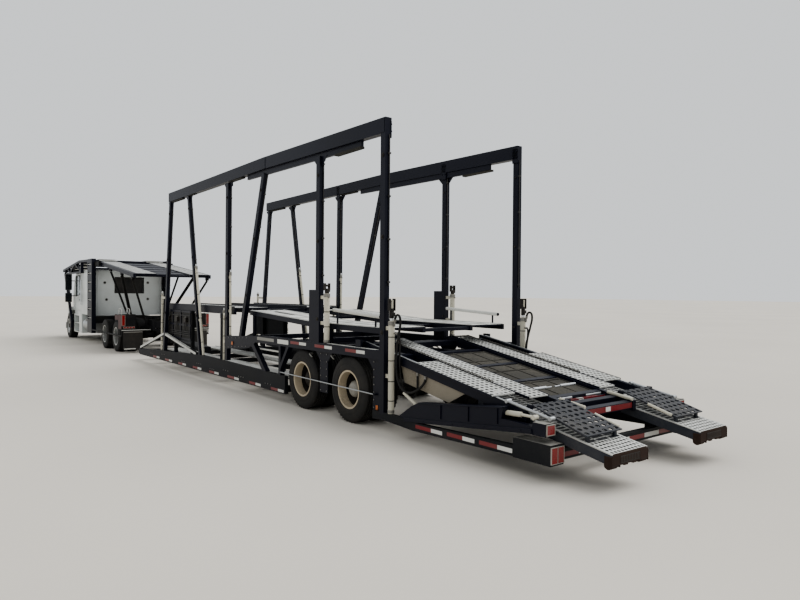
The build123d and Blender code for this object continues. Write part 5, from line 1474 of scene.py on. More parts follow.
@dataclass(frozen=True)
class RearTrim:
    """Mesh floor, edge strips, chains, taped bars and side plates of the rear deck, and the booms' trim."""

    beam_y: float = 1.146
    boom_y: float = 1.215

    def along(self, x0: float, x1: float, y: float, rise: float, width: float, depth: float) -> Piece:
        """A strip that follows the deck's slope at a height over its frame."""
        return strut((x0, y, rear_z(x0) + rise), (x1, y, rear_z(x1) + rise), width, depth, 0.0015)

    def floor_mesh(self) -> list[Piece]:
        """The mesh floor between the runways, with its stiffening ribs."""
        pieces = [self.along(-1.945, -0.065, 0.0, -0.0435, 0.876, 0.003)]
        pieces += [self.along(-1.94, -0.07, y, -0.04, 0.022, 0.012) for y in (-0.425, -0.16, 0.16, 0.425)]
        for x in (-1.9, -1.43, -0.96, -0.5, -0.1):
            pieces.append(strut((x, -0.43, rear_z(x) - 0.039),
                    (x, 0.43, rear_z(x) - 0.039), 0.024, 0.01, 0.001))
        return pieces

    def edges(self) -> list[Piece]:
        """Angle strips along both sides of each perforated strip."""
        runs = ((-1.98, 0.64, 0.47), (-1.98, 0.64, 0.8), (-1.8, -0.5, 0.817), (-1.8, -0.5, 1.196))
        return [self.along(a, b, y, 0.006, 0.01, 0.026) for a, b, y in runs]

    def bright_strips(self) -> list[Piece]:
        """Bare aluminium rubbing strips on the tail's outer beams, and the bright rods below them."""
        pieces = [self.along(low, high, self.beam_y, 0.004, 0.024, 0.008)
                for low, high in ((-2.245, -1.83), (-0.47, 0.6))]
        pieces.append(tube((-0.25, 0.4, 0.925), (-1.43, 0.4, 0.715), 0.014, 16))
        rods = ((-1.66, 0.7), (-2.02, 0.635))
        pieces += [tube((x, 0.425, z), (x, 0.13, z), 0.022, 18) for x, z in rods]
        return pieces + [tube((x, 0.14, z), (x, 0.03, z), 0.012, 14) for x, z in rods]

    def chain(self) -> Piece:
        """The slack lashing chain lying between the two strips."""
        clear()
        bpy.ops.mesh.primitive_torus_add(major_radius=0.013, minor_radius=0.0035,
                major_segments=8, minor_segments=4)
        link = bpy.context.object
        link.scale = (1.7, 1.0, 1.0)
        settle(link)
        links = []
        for index in range(64):
            x = 0.3 - index * 0.0275
            y = 0.8085 + 0.004 * math.sin(index * 0.7)
            twin = copied(link)
            roll = Matrix.Rotation(math.radians(90 * (index % 2) + 20), 4, "X")
            lean = Matrix.Rotation(-math.atan(REAR_SLOPE), 4, "Y")
            place = Matrix.Translation((rig_x(x), y, rear_z(x) + 0.03))
            twin.data.transform(place @ lean @ roll)
            links.append(twin)
        bpy.data.objects.remove(link)
        return join(links)

    def bar_tape(self) -> tuple[list[Piece], list[Piece]]:
        """Red tape with square pale marks on both tail bars' rear faces and on the front one's top."""
        red, pale = [], []
        for x, middle in ((-2.085, 0.594), (-2.4375, rear_z(-2.4375) - 0.047)):
            red.append(slab((x - 0.001, -0.45, middle - 0.03), (x + 0.002, 0.45, middle + 0.03), 0.0004))
            pale.append(slab((x - 0.0025, -0.02, middle - 0.024), (x, 0.07, middle + 0.026), 0.0004))
        x, top = -2.085, 0.626
        red.append(slab((x + 0.003, -0.3, top), (x + 0.036, 0.45, top + 0.0008), 0.0002))
        pale.append(slab((x + 0.003, -0.03, top + 0.0005), (x + 0.036, 0.08, top + 0.0016), 0.0002))
        return red, pale

    def lock_bar(self) -> list[Piece]:
        """The taped bar between the inner beams ahead of the tail's two fixed bars, with its end pads."""
        bar = slab((-2.0845, -0.452, 0.562), (-2.0445, 0.452, 0.626), 0.003)
        pads = [slab((-2.1, y, 0.552), (-2.03, y + 0.01, 0.636), 0.002) for y in (-0.446, 0.436)]
        return [bar, *pads]

    def tail_rods(self) -> list[Piece]:
        """The bright rods that lie beside each flipper and their end eyes."""
        eyes = ((-1.99, 0.69), (-2.555, 0.592))
        return [tube((-1.99, 1.15, 0.69), (-2.56, 1.15, 0.59), 0.017, 20, 0.002),
                tube((-1.99, 1.12, 0.645), (-2.42, 1.12, 0.583), 0.012, 16, 0.002),
                *[tube((x, 1.105, z), (x, 1.175, z), 0.024, 20, 0.003) for x, z in eyes]]

    def boom_rams(self) -> list[Piece]:
        """The short cylinders and links on the side booms."""
        y = self.boom_y
        return [tube((-2.0, y, 0.583), (-2.24, y, 0.594), 0.028, 26, 0.004),
                tube((-2.235, y, 0.594), (-2.405, y, 0.592), 0.015, 20, 0.002),
                tube((-2.41, 1.18, 0.592), (-2.41, 1.245, 0.592), 0.026, 22, 0.003),
                tube((-2.0, 1.18, 0.583), (-2.0, 1.245, 0.583), 0.03, 22, 0.003),
                tube((-0.317, y, 0.565), (-0.578, y, 0.445), 0.02, 20, 0.004),
                tube((-0.575, 1.18, 0.447), (-0.575, 1.25, 0.447), 0.028, 22, 0.003)]

    def boom_flanges(self) -> list[Piece]:
        """The rolled rail along a boom's lower edge, the lip along its top and the ribs between them."""
        y = HALF_WIDTH + 0.001
        rail = strut((-0.42, y, 0.256), (-2.44, y, 0.47), 0.014, 0.05, 0.004)
        lip = strut((-0.71, y, 0.496), (-2.05, y, 0.644), 0.014, 0.014, 0.003)
        ribs = [strut((x, y, 0.3 + (-x - 0.42) * 0.106), (x, y, 0.49 + (-x - 0.71) * 0.11), 0.008, 0.014,
                0.002) for x in (-1.1, -1.55, -1.98)]
        spots = [(x, 0.256 + (-x - 0.42) * 0.106) for x in (-0.8, -1.3, -1.8, -2.3)]
        bolts = [tube((x, y - 0.004, z), (x, y + 0.012, z), 0.01, 6, 0.001) for x, z in spots]
        return [rail, lip, *ribs, *bolts]

    def side_plates(self) -> Piece:
        """The tan plate that closes the side below the deck's outer beam."""
        low = 0.105
        outline = ((-0.15, rear_z(-0.15) - low), (-1.35, rear_z(-1.35) - low),
                (-1.06, 0.537), (-0.23, 0.677))
        return profile_plate(outline, 1.13, 1.1335)

    def build(self, fitter: "Fitter") -> None:
        """Build all the trim of the rear deck.

        Args:
            fitter: fits each piece to its body.
        """
        deck = Body.REAR_DECK
        fitter.fit(self.floor_mesh(), "rear_deck.floor_mesh", deck, "expanded_steel")
        fitter.pair(self.edges(), "rear_deck.edge_angles", deck, "navy_paint")
        fitter.pair(self.bright_strips(), "rear_deck.bright_strips", deck, "bare_steel")
        fitter.pair([self.chain()], "rear_deck.chain", deck, "chain_steel", smooth=1.2)
        red, white = self.bar_tape()
        fitter.fit(red, "rear_deck.tape_red", deck, "tape_red")
        fitter.fit(white, "rear_deck.tape_marks", deck, "tape_white")
        fitter.pair(self.tail_rods(), "tail.rods", Body.TRAILER, "bare_steel")
        fitter.fit(self.lock_bar(), "rear_deck.lock_bar", deck, "navy_paint")
        latch = [tube((-2.11, 0.445, 0.66), (-2.44, 0.445, 0.614), 0.02, 20, 0.004)]
        fitter.pair(latch, "rear_deck.latch_rams", deck, "cylinder_paint")
        spring = tube((-2.6, 0.5, 0.578), (-2.88, 0.5, 0.497), 0.016, 20, 0.003)
        fitter.twins([spring], "flipper", "spring", "cylinder_paint")
        fitter.pair(self.boom_rams(), "side_booms.rams", Body.TRAILER, "cylinder_paint")
        fitter.pair(self.boom_flanges(), "side_booms.flanges", Body.TRAILER, "navy_paint")
        fitter.pair([self.side_plates()], "rear_deck.side_plates", deck, "tan_plate")


@dataclass(frozen=True)
class RampEnds:
    """The pressed steel noses on the tips of both ramps, with cheeks and wear rollers."""

    tip_x: float = RAMP_TIP_X

    def nose(self) -> list[Piece]:
        """The left ramp's folded steel nose with its rungs, cheeks, rollers and feet."""
        x, z = self.tip_x, ramp_z(self.tip_x)
        plate = slab((x - 0.002, 0.508, z - 0.098), (x + 0.003, 1.092, z - 0.002), 0.001)
        bar = tube((x + 0.01, 0.53, z + 0.002), (x + 0.01, 1.07, z + 0.002), 0.012, 16)
        rollers = [tube((x + 0.044, y, z - 0.092), (x + 0.044, y + 0.105, z - 0.092), 0.044, 28, 0.006)
                for y in (0.506, 0.989)]
        cheeks = [slab((x - 0.004, y, z - 0.12), (x + 0.08, y + 0.012, z - 0.01), 0.004)
                for y in (0.5, 0.626, 0.962, 1.088)]
        across = [0.65 + 0.026 * index for index in range(12)]
        rungs = [slab((x - 0.005, y, z - 0.08), (x - 0.001, y + 0.013, z - 0.024), 0.001) for y in across]
        feet = [slab((x - 0.004, y, z - 0.112), (x + 0.03, y + 0.06, z - 0.094), 0.004) for y in (0.7, 0.84)]
        return [plate, bar, *rollers, *cheeks, *rungs, *feet]

    def recess(self) -> Piece:
        """A flat black sheet on the left ramp's end behind the rungs: painted shade for the slot there."""
        x, z = self.tip_x, ramp_z(self.tip_x)
        return slab((x - 0.0035, 0.642, z - 0.086), (x, 0.958, z - 0.018), 0.0004)

    def build(self, fitter: "Fitter") -> None:
        """Fit both ramps' noses."""
        fitter.twins(self.nose(), "ramp", "nose", "rusty_steel")
        # painted shade: the flat black sheet in each nose's slot
        fitter.twins([self.recess()], "ramp", "nose_recess", "black_recess")


# Tail lamps and boxes


@dataclass(frozen=True)
class TailEnd:
    """Lens frames and prisms of the tail lamps, box tops and bumper tape round the tail."""

    lamp_x: float = -2.68
    box_x: float = -2.61

    def frame_round(self, x: float, y0: float, y1: float, z0: float, z1: float,
            wide: float = 0.009) -> list[Piece]:
        """A raised rim round a lens on a face that looks back.

        Args:
            x: the face.
            y0: the lens's right side.
            y1: its left side.
            z0: its lower side.
            z1: its upper side.
            wide: the rim's width.

        Returns:
            The rim's four bars.
        """
        back, front = x - 0.004, x + 0.011
        return [slab((back, y0 - wide, z1), (front, y1 + wide, z1 + wide), 0.0015),
                slab((back, y0 - wide, z0 - wide), (front, y1 + wide, z0), 0.0015),
                slab((back, y0 - wide, z0), (front, y0, z1), 0.0015),
                slab((back, y1, z0), (front, y1 + wide, z1), 0.0015)]

    def lens_ribs(self, x: float, y0: float, y1: float, z0: float, z1: float, count: int) -> Piece:
        """Fluted prisms on a lens.

        Args:
            x: the face.
            y0: the lens's right side.
            y1: its left side.
            z0: its lower side.
            z1: its upper side.
            count: how many prisms.

        Returns:
            The prisms, as one piece.
        """
        step = (z1 - z0) / count
        first = slab((x - 0.003, y0 + 0.004, z0 + step * 0.2),
                (x + 0.001, y1 - 0.004, z0 + step * 0.8), 0.0012)
        return repeated(first, count, (0.0, 0.0, step))

    def build(self, fitter: "Fitter") -> None:
        """Build the tail's trim.

        Args:
            fitter: fits each piece to its body.
        """
        rims, ribs = [], []
        for y0 in (1.108, 1.202):
            rims += self.frame_round(self.lamp_x, y0, y0 + 0.085, 0.195, 0.345, 0.007)
            ribs.append(self.lens_ribs(self.lamp_x, y0, y0 + 0.085, 0.195, 0.345, 12))
        rims += self.frame_round(self.box_x, 1.16, 1.27, 0.455, 0.545)
        ribs.append(self.lens_ribs(self.box_x, 1.16, 1.27, 0.455, 0.545, 8))
        tops = [slab((-2.664, 1.104, 0.37), (-2.206, 1.289, 0.3725), 0.001),
                slab((-2.596, 1.144, 0.56), (-2.444, 1.286, 0.5625), 0.001)]
        for parts, name, finish in (
                (rims, "lens_rims", "lamp_rim"),
                (ribs, "lens_ribs", "red_lens"),
                (tops, "box_tops", "worn_paint")):
            fitter.pair(parts, f"tail.{name}", Body.TRAILER, finish)
        bumper = [slab((-2.5915, y, 0.205), (-2.59, y + 0.3, 0.255), 0.0004)
                for y in (-1.05, -0.45, 0.15, 0.75)]
        marks = [slab((-2.5915, y, 0.205), (-2.59, y + 0.298, 0.255), 0.0004) for y in (-0.75, -0.15, 0.45)]
        fitter.fit(bumper, "tail.bumper_tape_red", Body.TRAILER, "tape_red")
        fitter.fit(marks, "tail.bumper_tape_white", Body.TRAILER, "tape_white")


# Decks over and ahead of the wheels


def mid_z(x: float) -> float:
    """Height of the mid deck's top at x.

    Args:
        x: a place along the vehicle, in the rig's own frame.

    Returns:
        The height.
    """
    if x > 2.0:
        return 1.35 + (1.47 - 1.35) * (x - 2.0) / 2.35
    return 1.345 + (1.35 - 1.345) * (x - 0.2) / 1.8


@dataclass(frozen=True)
class MidDeck:
    """Worn white tops, a long oval slot and the side tubes of the deck over the wheels."""

    lane: Spot = (0.436, 1.144)

    def top(self, x0: float, x1: float, y0: float, y1: float, rise: float = 0.002) -> Piece:
        """A thin sheet on the lane's top."""
        y, lift = (y0 + y1) / 2, rise / 2
        return strut((x0, y, mid_z(x0) + lift), (x1, y, mid_z(x1) + lift), y1 - y0, rise, 0.0006)

    def slot(self) -> Piece:
        """A flat black oval near the lane's front end: painted shade for the recess there."""
        clear()
        bpy.ops.mesh.primitive_cylinder_add(vertices=24, radius=0.075, depth=0.003)
        piece = bpy.context.object
        choose(piece, "vertices", lambda vertex: vertex.co.x > 0.001)
        with editing(piece, None):
            bpy.ops.transform.translate(value=(0.55, 0.0, 0.0))
        slope = (mid_z(4.0) - mid_z(3.4)) / 0.6
        return laid(piece, (3.35, 0.8, mid_z(3.35) + 0.003), slope)

    def build(self, fitter: "Fitter") -> None:
        """Dress both lanes.

        Args:
            fitter: fits each piece to its body.
        """
        low, high = self.lane
        sheets = [self.top(2.005, 4.345, low, high), self.top(0.205, 1.995, low, high)]
        ribs = [self.top(a, b, y, y + 0.03, 0.01) for a, b in ((2.01, 4.34), (0.21, 1.99))
                for y in (0.45, 0.775, 1.1)]
        cleats = [self.top(x, x + 0.03, low + 0.02, high - 0.02, 0.008)
                for x in (0.5, 0.95, 1.4, 1.85, 2.3, 2.75, 3.2, 4.1)]
        for parts, name, finish in (
                (sheets, "tops", "white_deck"),
                ([*ribs, *cleats], "ribs", "pale_deck"),
                ([self.slot()], "slots", "black_recess")):
            fitter.pair(parts, f"mid_deck.{name}", Body.MID_DECK, finish)
        tubes = [tube((1.49, 1.125, 1.5545), (0.31, 1.125, 1.4905), 0.0265, 24)]
        fitter.pair(tubes, "mid_deck.side_tubes", Body.MID_DECK, "pale_tube")


@dataclass(frozen=True)
class FrontDeck:
    """Punched skins and edge rails of the deck ahead of the wheels."""

    top: float = 1.5

    def build(self, fitter: "Fitter") -> None:
        """Dress both lanes.

        Args:
            fitter: fits each piece to its body.
        """
        lanes = []
        for x in (5.07, 7.11):
            sheet = punched(2.03, 0.69, 34, 12, 0.03, 0.003)
            lanes.append(laid(sheet, (x, 0.445, self.top + 0.0032), 0.0))
        fitter.pair(lanes, "front_deck.skins", Body.FRONT_DECK, "pale_deck", smooth=0.4)
        rails = [slab((5.062, y, self.top), (9.148, y + 0.012, self.top + 0.03), 0.002)
                for y in (0.43, 1.138)]
        fitter.pair(rails, "front_deck.edge_rails", Body.FRONT_DECK, "navy_paint")


# Trailer sides and uppers


@dataclass(frozen=True)
class SideFittings:
    """Bare plates, markers, bolts, ledges, cables, slats and levers on the trailer's sides."""

    face: float = HALF_WIDTH

    def bolt_row(self, start: Spot, end: Spot, count: int, y: float, radius: float = 0.01) -> Piece:
        """Bolt heads in a line on a face that looks left.

        Args:
            start: x and z of the first bolt.
            end: x and z of the last.
            count: how many there are.
            y: the face.
            radius: of a head.

        Returns:
            The row, as one piece.
        """
        clear()
        bpy.ops.mesh.primitive_cylinder_add(vertices=6, radius=radius, depth=0.008,
                rotation=(math.pi / 2, 0.0, 0.0))
        head = soften(settle(bpy.context.object), 0.0012)
        head.data.transform(Matrix.Translation((rig_x(start[0]), y + 0.003, start[1])))
        step = [(end[0] - start[0]) / (count - 1), 0.0, (end[1] - start[1]) / (count - 1)]
        return repeated(head, count, step)

    def bolts(self) -> list[Piece]:
        """Bolts of the wheel plates, braces and post feet."""
        plate = HALF_WIDTH - 0.05
        rows = [self.bolt_row((x, 0.36), (x, 0.9), 6, plate) for x in (1.48, 1.645)]
        rows += [self.bolt_row((x, 0.2), (x, 0.9), 8, plate) for x in (0.135, 0.28)]
        rows.append(self.bolt_row((4.15, 0.985), (5.14, 0.925), 7, self.face))
        rows.append(self.bolt_row((4.2, 0.83), (5.14, 0.745), 7, self.face))
        rows += [self.bolt_row((x - 0.11, 0.3), (x + 0.11, 0.3), 3, self.face) for x in (5.11, 6.53, 8.88)]
        rows += [self.bolt_row((x, 0.255), (x + 0.2, 0.255), 3, self.face)
                for x in (3.2, 4.3, 5.7, 7.4, 9.7)]
        return rows

    def plates(self) -> tuple[list[Piece], list[Piece]]:
        """The bare name plate and the bare label beside it."""
        plate = [slab((3.09, self.face, 0.975), (3.73, self.face + 0.002, 1.03), 0.001)]
        label = [slab((2.58, self.face, 0.965), (2.96, self.face + 0.0015, 1.035), 0.0006)]
        return plate, label

    def round_marker(self) -> tuple[list[Piece], list[Piece]]:
        """The round side marker lamp, a lens in a rim."""
        x, z = 4.79, 0.845
        rim = tube((x, self.face - 0.001, z), (x, self.face + 0.008, z), 0.048, 28, 0.003)
        lens = tube((x, self.face + 0.006, z), (x, self.face + 0.014, z), 0.036, 28, 0.004)
        return [rim], [lens]

    def build(self, fitter: "Fitter") -> None:
        """Fit everything on both sides.

        Args:
            fitter: fits each piece to its body.
        """
        body = Body.TRAILER
        plate, label = self.plates()
        rims, lenses = self.round_marker()
        reflector = [slab((0.185, HALF_WIDTH - 0.05, 0.205), (0.235, HALF_WIDTH - 0.044, 0.335), 0.0015)]
        ledge = [slab((0.21, 1.222, 1.065), (1.42, 1.286, 1.0675), 0.0008)]
        cable = [tube((2.88, 1.287, 0.5), (0.235, 1.287, 0.4803), 0.0092, 16, 0.0)]
        bars = []
        for z in (0.53, 0.625, 0.72, 0.815):
            brace_x = 3.42 + 0.53 * (z - 0.43) / 0.47
            bars.append(slab((2.925, 1.217, z - 0.0145), (brace_x - 0.05, 1.2195, z + 0.0145), 0.0008))
        fitter.pair(cable, "trailer.guard_cables", body, "bare_steel")
        fitter.pair(bars, "trailer.slat_faces", body, "pale_tube")
        levers = []
        for x, z in ((1.92, 0.885), (1.3, 0.905)):
            levers.append(tube((x, 1.22, z), (x, 1.285, z - 0.012), 0.014, 14))
            levers.append(tube((x, 1.28, z - 0.012), (x - 0.085, 1.287, z - 0.05), 0.011, 12))
        for parts, name, finish in (
                (self.bolts(), "bolts", "nut_steel"),
                (plate, "maker_plates", "worn_paint"),
                (label, "labels", "tape_white"),
                (rims, "marker_rims", "black_recess"),
                (lenses + reflector, "markers", "amber_lens"),
                (ledge, "ledges", "white_deck"),
                (levers, "levers", "nut_steel")):
            fitter.pair(parts, f"trailer.{name}", body, finish)


@dataclass(frozen=True)
class LowFittings:
    """Bright caps on the low braces, sleeves on the deck's stands and treads in the belly."""

    cap_y: float = 1.261
    skin_y: float = 1.288

    def build(self, fitter: "Fitter") -> None:
        """Fit the caps, the treads and the sleeves.

        Args:
            fitter: fits each piece to its body.
        """
        y, skin = self.cap_y, self.skin_y
        caps = [strut((10.8, y, 0.355), (8.92, y, 0.815), 0.046, 0.014, 0.002),
                strut((8.84, y, 0.822), (6.74, y, 0.506), 0.046, 0.014, 0.002),
                strut((10.82, skin, 0.335), (8.9, skin, 0.795), 0.0025, 0.052, 0.0008),
                strut((8.84, skin, 0.795), (6.74, skin, 0.484), 0.0025, 0.052, 0.0008)]
        fitter.pair(caps, "trailer.brace_caps", Body.TRAILER, "pale_tube")
        cleat = slab((3.03, 0.345, 0.285), (3.06, 0.675, 0.293), 0.0015)
        row = repeated(cleat, 50, (0.15, 0.0, 0.0))
        rails = [slab((2.99, y, 0.285), (10.64, y + 0.014, 0.3), 0.0015) for y in (0.332, 0.674)]
        fitter.pair([row, *rails], "trailer.belly_treads", Body.TRAILER, "pale_deck")
        sleeves = []
        for x in (5.7, 7.4, 8.5):
            sleeves.append(slab((x - 0.042, 1.078, 0.262), (x + 0.042, 1.162, 0.42), 0.004))
            sleeves.append(slab((x - 0.04, 1.08, 1.28), (x + 0.04, 1.16, 1.368), 0.004))
        fitter.pair(sleeves, "trailer.stand_sleeves", Body.TRAILER, "navy_paint")


@dataclass(frozen=True)
class Upright:
    """One post on the left: its foot and top as (x, z), and its depth, in metres."""

    foot: Spot
    top: Spot
    depth: float

    def at(self, z: float) -> float:
        """The x of its middle at a height."""
        return self.foot[0] + (self.top[0] - self.foot[0]) * (z
                - self.foot[1]) / (self.top[1] - self.foot[1])


@dataclass(frozen=True)
class FrontBay:
    """Valve blocks, steel lines and ribs on the panels beside the front bay, with flat black skins on the
    panels as painted shade.
    """

    face: float = 1.1735
    span: Spot = (7.3, 9.14)
    blocks: tuple[float, ...] = (7.55, 8.12, 8.7)

    def build(self, fitter: "Fitter") -> None:
        """Fit the panels' skins with all that is bolted to them.

        Args:
            fitter: fits each piece to its body.
        """
        (low, high), face, spots = self.span, self.face, self.blocks
        # painted shade: flat black skins on the panels, set back under the front deck
        skins = [slab((low, face - 0.001, 0.706), (high, face + 0.002, 1.384), 0.001)]
        ribs = [slab((x, face + 0.001, 0.71), (x + 0.03, face + 0.022, 1.38), 0.003)
                for x in (7.34, 7.95, 8.5, 9.05)]
        ribs += [slab((low, face + 0.001, z), (high, face + 0.016, z + 0.045), 0.003)
                for z in (0.715, 1.03, 1.33)]
        blocks = [slab((x, face + 0.001, 1.12), (x + 0.16, face + 0.055, 1.22), 0.005) for x in spots]
        holes = [x + 0.035 + 0.045 * step for x in spots for step in range(3)]
        ports = [tube((x, face + 0.03, 1.22), (x, face + 0.03, 1.245), 0.009, 6, 0.001) for x in holes]
        y, out = face + 0.03, face + 0.034
        lines = [tube((low + 0.02, y, z), (high - 0.02, y, z), 0.0085, 12) for z in (0.83, 0.87, 0.91, 1.27)]
        drops = [pipe(((x, y, 1.13), (x, out, 1.02), (x + 0.03, out, 0.95), (x + 0.03, y, 0.88)), 0.0085, 3)
                for x in (7.6, 7.68, 8.17, 8.25, 8.75, 8.83)]
        for parts, name, finish in (
                (skins, "skins", "black_recess"),
                (ribs, "ribs", "navy_paint"),
                (blocks, "valve_blocks", "hub_iron"),
                (ports, "ports", "nut_steel"),
                ([*lines, *drops], "lines", "strap_plastic")):
            fitter.pair(parts, f"front_bay.{name}", Body.TRAILER, finish)


@dataclass(frozen=True)
class Uppers:
    """Gussets, heads, pins, clipped lines, seams and under-plates of the posts and top rails."""

    posts: tuple[Upright, ...] = (
        Upright((0.05, 0.25), (0.05, 3.86), 0.1),
        Upright((1.68, 1.065), (1.68, 3.83), 0.1),
        Upright((4.33, 1.4), (3.53, 3.85), 0.1),
        Upright((5.115, 0.5), (5.085, 3.89), 0.11),
        Upright((6.53, 0.48), (7.24, 3.89), 0.08),
        Upright((8.88, 0.4), (8.44, 3.9), 0.09),
    )
    inner: float = HALF_WIDTH - 0.08

    def gusset(self, post: Upright, reach: float) -> Piece:
        """A triangular plate in the corner between a post and the rail.

        Args:
            post: the post.
            reach: its length along the rail, forward or, below 0, backward.

        Returns:
            The plate.
        """
        top = post.top[1] - 0.001
        edge = post.at(top) + math.copysign(post.depth / 2, reach)
        low = post.at(top - 0.16) + math.copysign(post.depth / 2, reach)
        outline = [(edge, top), (edge + reach, top), (edge + reach, top - 0.02), (low, top - 0.16)]
        if reach > 0:
            outline.reverse()
        return profile_plate(outline, HALF_WIDTH - 0.045, HALF_WIDTH - 0.035)

    def boss(self, post: Upright, z: float) -> list[Piece]:
        """A pin's boss with its pin through a post.

        Args:
            post: the post.
            z: the pin's height.

        Returns:
            The boss and the pin.
        """
        x = post.at(z)
        return [tube((x, HALF_WIDTH - 0.001, z), (x, HALF_WIDTH + 0.006, z), 0.03, 20, 0.002),
                tube((x, self.inner - 0.012, z), (x, HALF_WIDTH + 0.014, z), 0.015, 16, 0.002)]

    def service_line(self, post: Upright, low: float, high: float) -> Piece:
        """A steel hydraulic line clipped along a post's rear face."""
        side, y = -post.depth / 2 - 0.012, self.inner + 0.02
        return tube((post.at(low) + side, y, low), (post.at(high) + side, y, high), 0.008, 12)

    def clip(self, post: Upright, z: float) -> Piece:
        """A clip that holds a line to a post.

        Args:
            post: the post.
            z: the clip's height.

        Returns:
            The clip.
        """
        x = post.at(z) - post.depth / 2
        return slab((x - 0.026, self.inner + 0.002, z - 0.012),
                (x + 0.001, self.inner + 0.038, z + 0.012), 0.002)

    def build(self, fitter: "Fitter") -> None:
        """Fit all of it to both sides.

        Args:
            fitter: fits each piece to its body.
        """
        plates, pins, lines = [], [], []
        for number, post in enumerate(self.posts):
            if number in (1, 3, 4, 5):
                plates += [self.gusset(post, 0.14), self.gusset(post, -0.14)]
            low = max(post.foot[1] + 0.25, 1.2)
            for z in (low + 0.1, (low + post.top[1]) / 2, post.top[1] - 0.28):
                pins += self.boss(post, z)
            lines.append(self.service_line(post, low + 0.7, post.top[1] - 0.02))
            heights = [low + 0.75 + 0.55 * step for step in range(4)]
            lines += [self.clip(post, z) for z in heights if z < post.top[1]]
        face = HALF_WIDTH + 0.005
        seams = [slab((x, HALF_WIDTH - 0.0005, 3.87 + 0.0155 * x), (x + 0.1, face, 4.055 + 0.015 * x),
                0.0015) for x in (0.02, 3.45)]
        plates_under = [slab((x0, 1.215, z), (x1, 1.288, z + 0.028), 0.002) for x0, x1, z in
                ((0.58, 1.23, 3.76), (4.43, 5.02, 3.892), (7.64, 8.35, 3.872), (6.9, 7.15, 3.892))]
        fitter.pair([*plates, *seams], "top_rails.gussets", Body.TRAILER, "navy_paint")
        heads = []
        for post in self.posts[:2] + self.posts[3:4]:
            x, top = post.at(4.0), 4.02 + 0.0135 * post.at(4.0)
            low = post.top[1] - 0.06
            heads.append(slab((x - 0.058, self.inner - 0.02, low),
                    (x + 0.058, self.inner - 0.001, top), 0.004))
            heads += [tube((x + dx, self.inner - 0.034, z), (x + dx, self.inner - 0.018, z), 0.011, 6, 0.001)
                    for dx in (-0.036, 0.036) for z in (post.top[1] + 0.03, top - 0.04)]
        for parts, name, finish in (
                (heads, "post_heads", "navy_paint"),
                (plates_under, "under_plates", "expanded_steel"),
                (pins, "pins", "hub_iron")):
            fitter.pair(parts, f"top_rails.{name}", Body.TRAILER, finish)
        fitter.pair(lines, "trailer_posts.lines", Body.TRAILER, "strap_plastic")


# Tractor


@dataclass(frozen=True)
class SleeperBack:
    """Window rubber, latches, seams, grab handles and lockers of the sleeper."""

    x: float = 16.8

    def build(self, fitter: "Fitter") -> None:
        """Fit the sleeper's parts.

        Args:
            fitter: fits each piece to its body.
        """
        x = self.x
        bars = ((-0.49, 2.25, 0.49, 2.292), (-0.49, 1.728, 0.49, 1.77),
                (-0.49, 1.74, -0.45, 2.28), (0.45, 1.74, 0.49, 2.28))
        rubber = [slab((x - 0.012, y0, z0), (x + 0.01, y1, z1), 0.01) for y0, z0, y1, z1 in bars]
        # painted shade: a flat black sheet just inside the window for the dark cab behind the glass
        rubber.append(slab((x + 0.012, -0.455, 1.765), (x + 0.018, 0.455, 2.255), 0.001))
        fitter.fit(rubber, "sleeper.rear_window", Body.TRACTOR, "black_recess")
        rings, centres = [], []
        for y, z in ((0.805, 2.09), (0.747, 1.51), (-0.62, 2.11), (-0.62, 1.53)):
            rings.append(tube((x - 0.01, y, z), (x + 0.002, y, z), 0.05, 28, 0.004))
            centres.append(tube((x - 0.014, y, z), (x, y, z), 0.032, 24, 0.004))
        fitter.fit(rings, "sleeper.latch_rings", Body.TRACTOR, "worn_paint")
        fitter.fit(centres, "sleeper.latches", Body.TRACTOR, "black_recess")
        seams = [slab((x - 0.005, y - 0.012, 1.03), (x + 0.001, y + 0.012, 2.46), 0.002)
                for y in (-1.02, 1.02)]
        seams += [slab((x - 0.004, -1.03, z - 0.008), (x + 0.001, 1.03, z + 0.008), 0.0015)
                for z in (1.06, 1.62, 2.44)]
        for side in (-1, 1):
            y = side * (1.15 + 0.002)
            near, far = sorted((y, y - side * 0.004))
            seams += [slab((17.05, near, z - 0.008), (18.7, far, z + 0.008), 0.001) for z in (1.08, 2.4)]
            seams += [slab((c - 0.008, near, 1.08), (c + 0.008, far, 2.4), 0.001)
                    for c in (17.1, 17.95, 18.7)]
        fitter.fit(seams, "sleeper.seams", Body.TRACTOR, "white_paint")
        handles = []
        for side in (-1, 1):
            y = side * 1.195
            handles.append(tube((18.66, y, 1.3), (18.66, y, 2.2), 0.015, 16))
            handles += [tube((18.66, side * 1.148, z), (18.66, y, z), 0.012, 12) for z in (1.32, 2.18)]
        fitter.fit(handles, "sleeper.grab_handles", Body.TRACTOR, "chrome_trim")
        lockers = []
        for side in (-1, 1):
            near, far = sorted((side * 1.153, side * 1.149))
            lockers.append(slab((17.25, near, 1.16), (17.85, far, 1.56), 0.003))
            near, far = sorted((side * 1.16, side * 1.153))
            lockers.append(slab((17.51, near, 1.19), (17.59, far, 1.22), 0.003))
        fitter.fit(lockers, "sleeper.lockers", Body.TRACTOR, "white_paint")


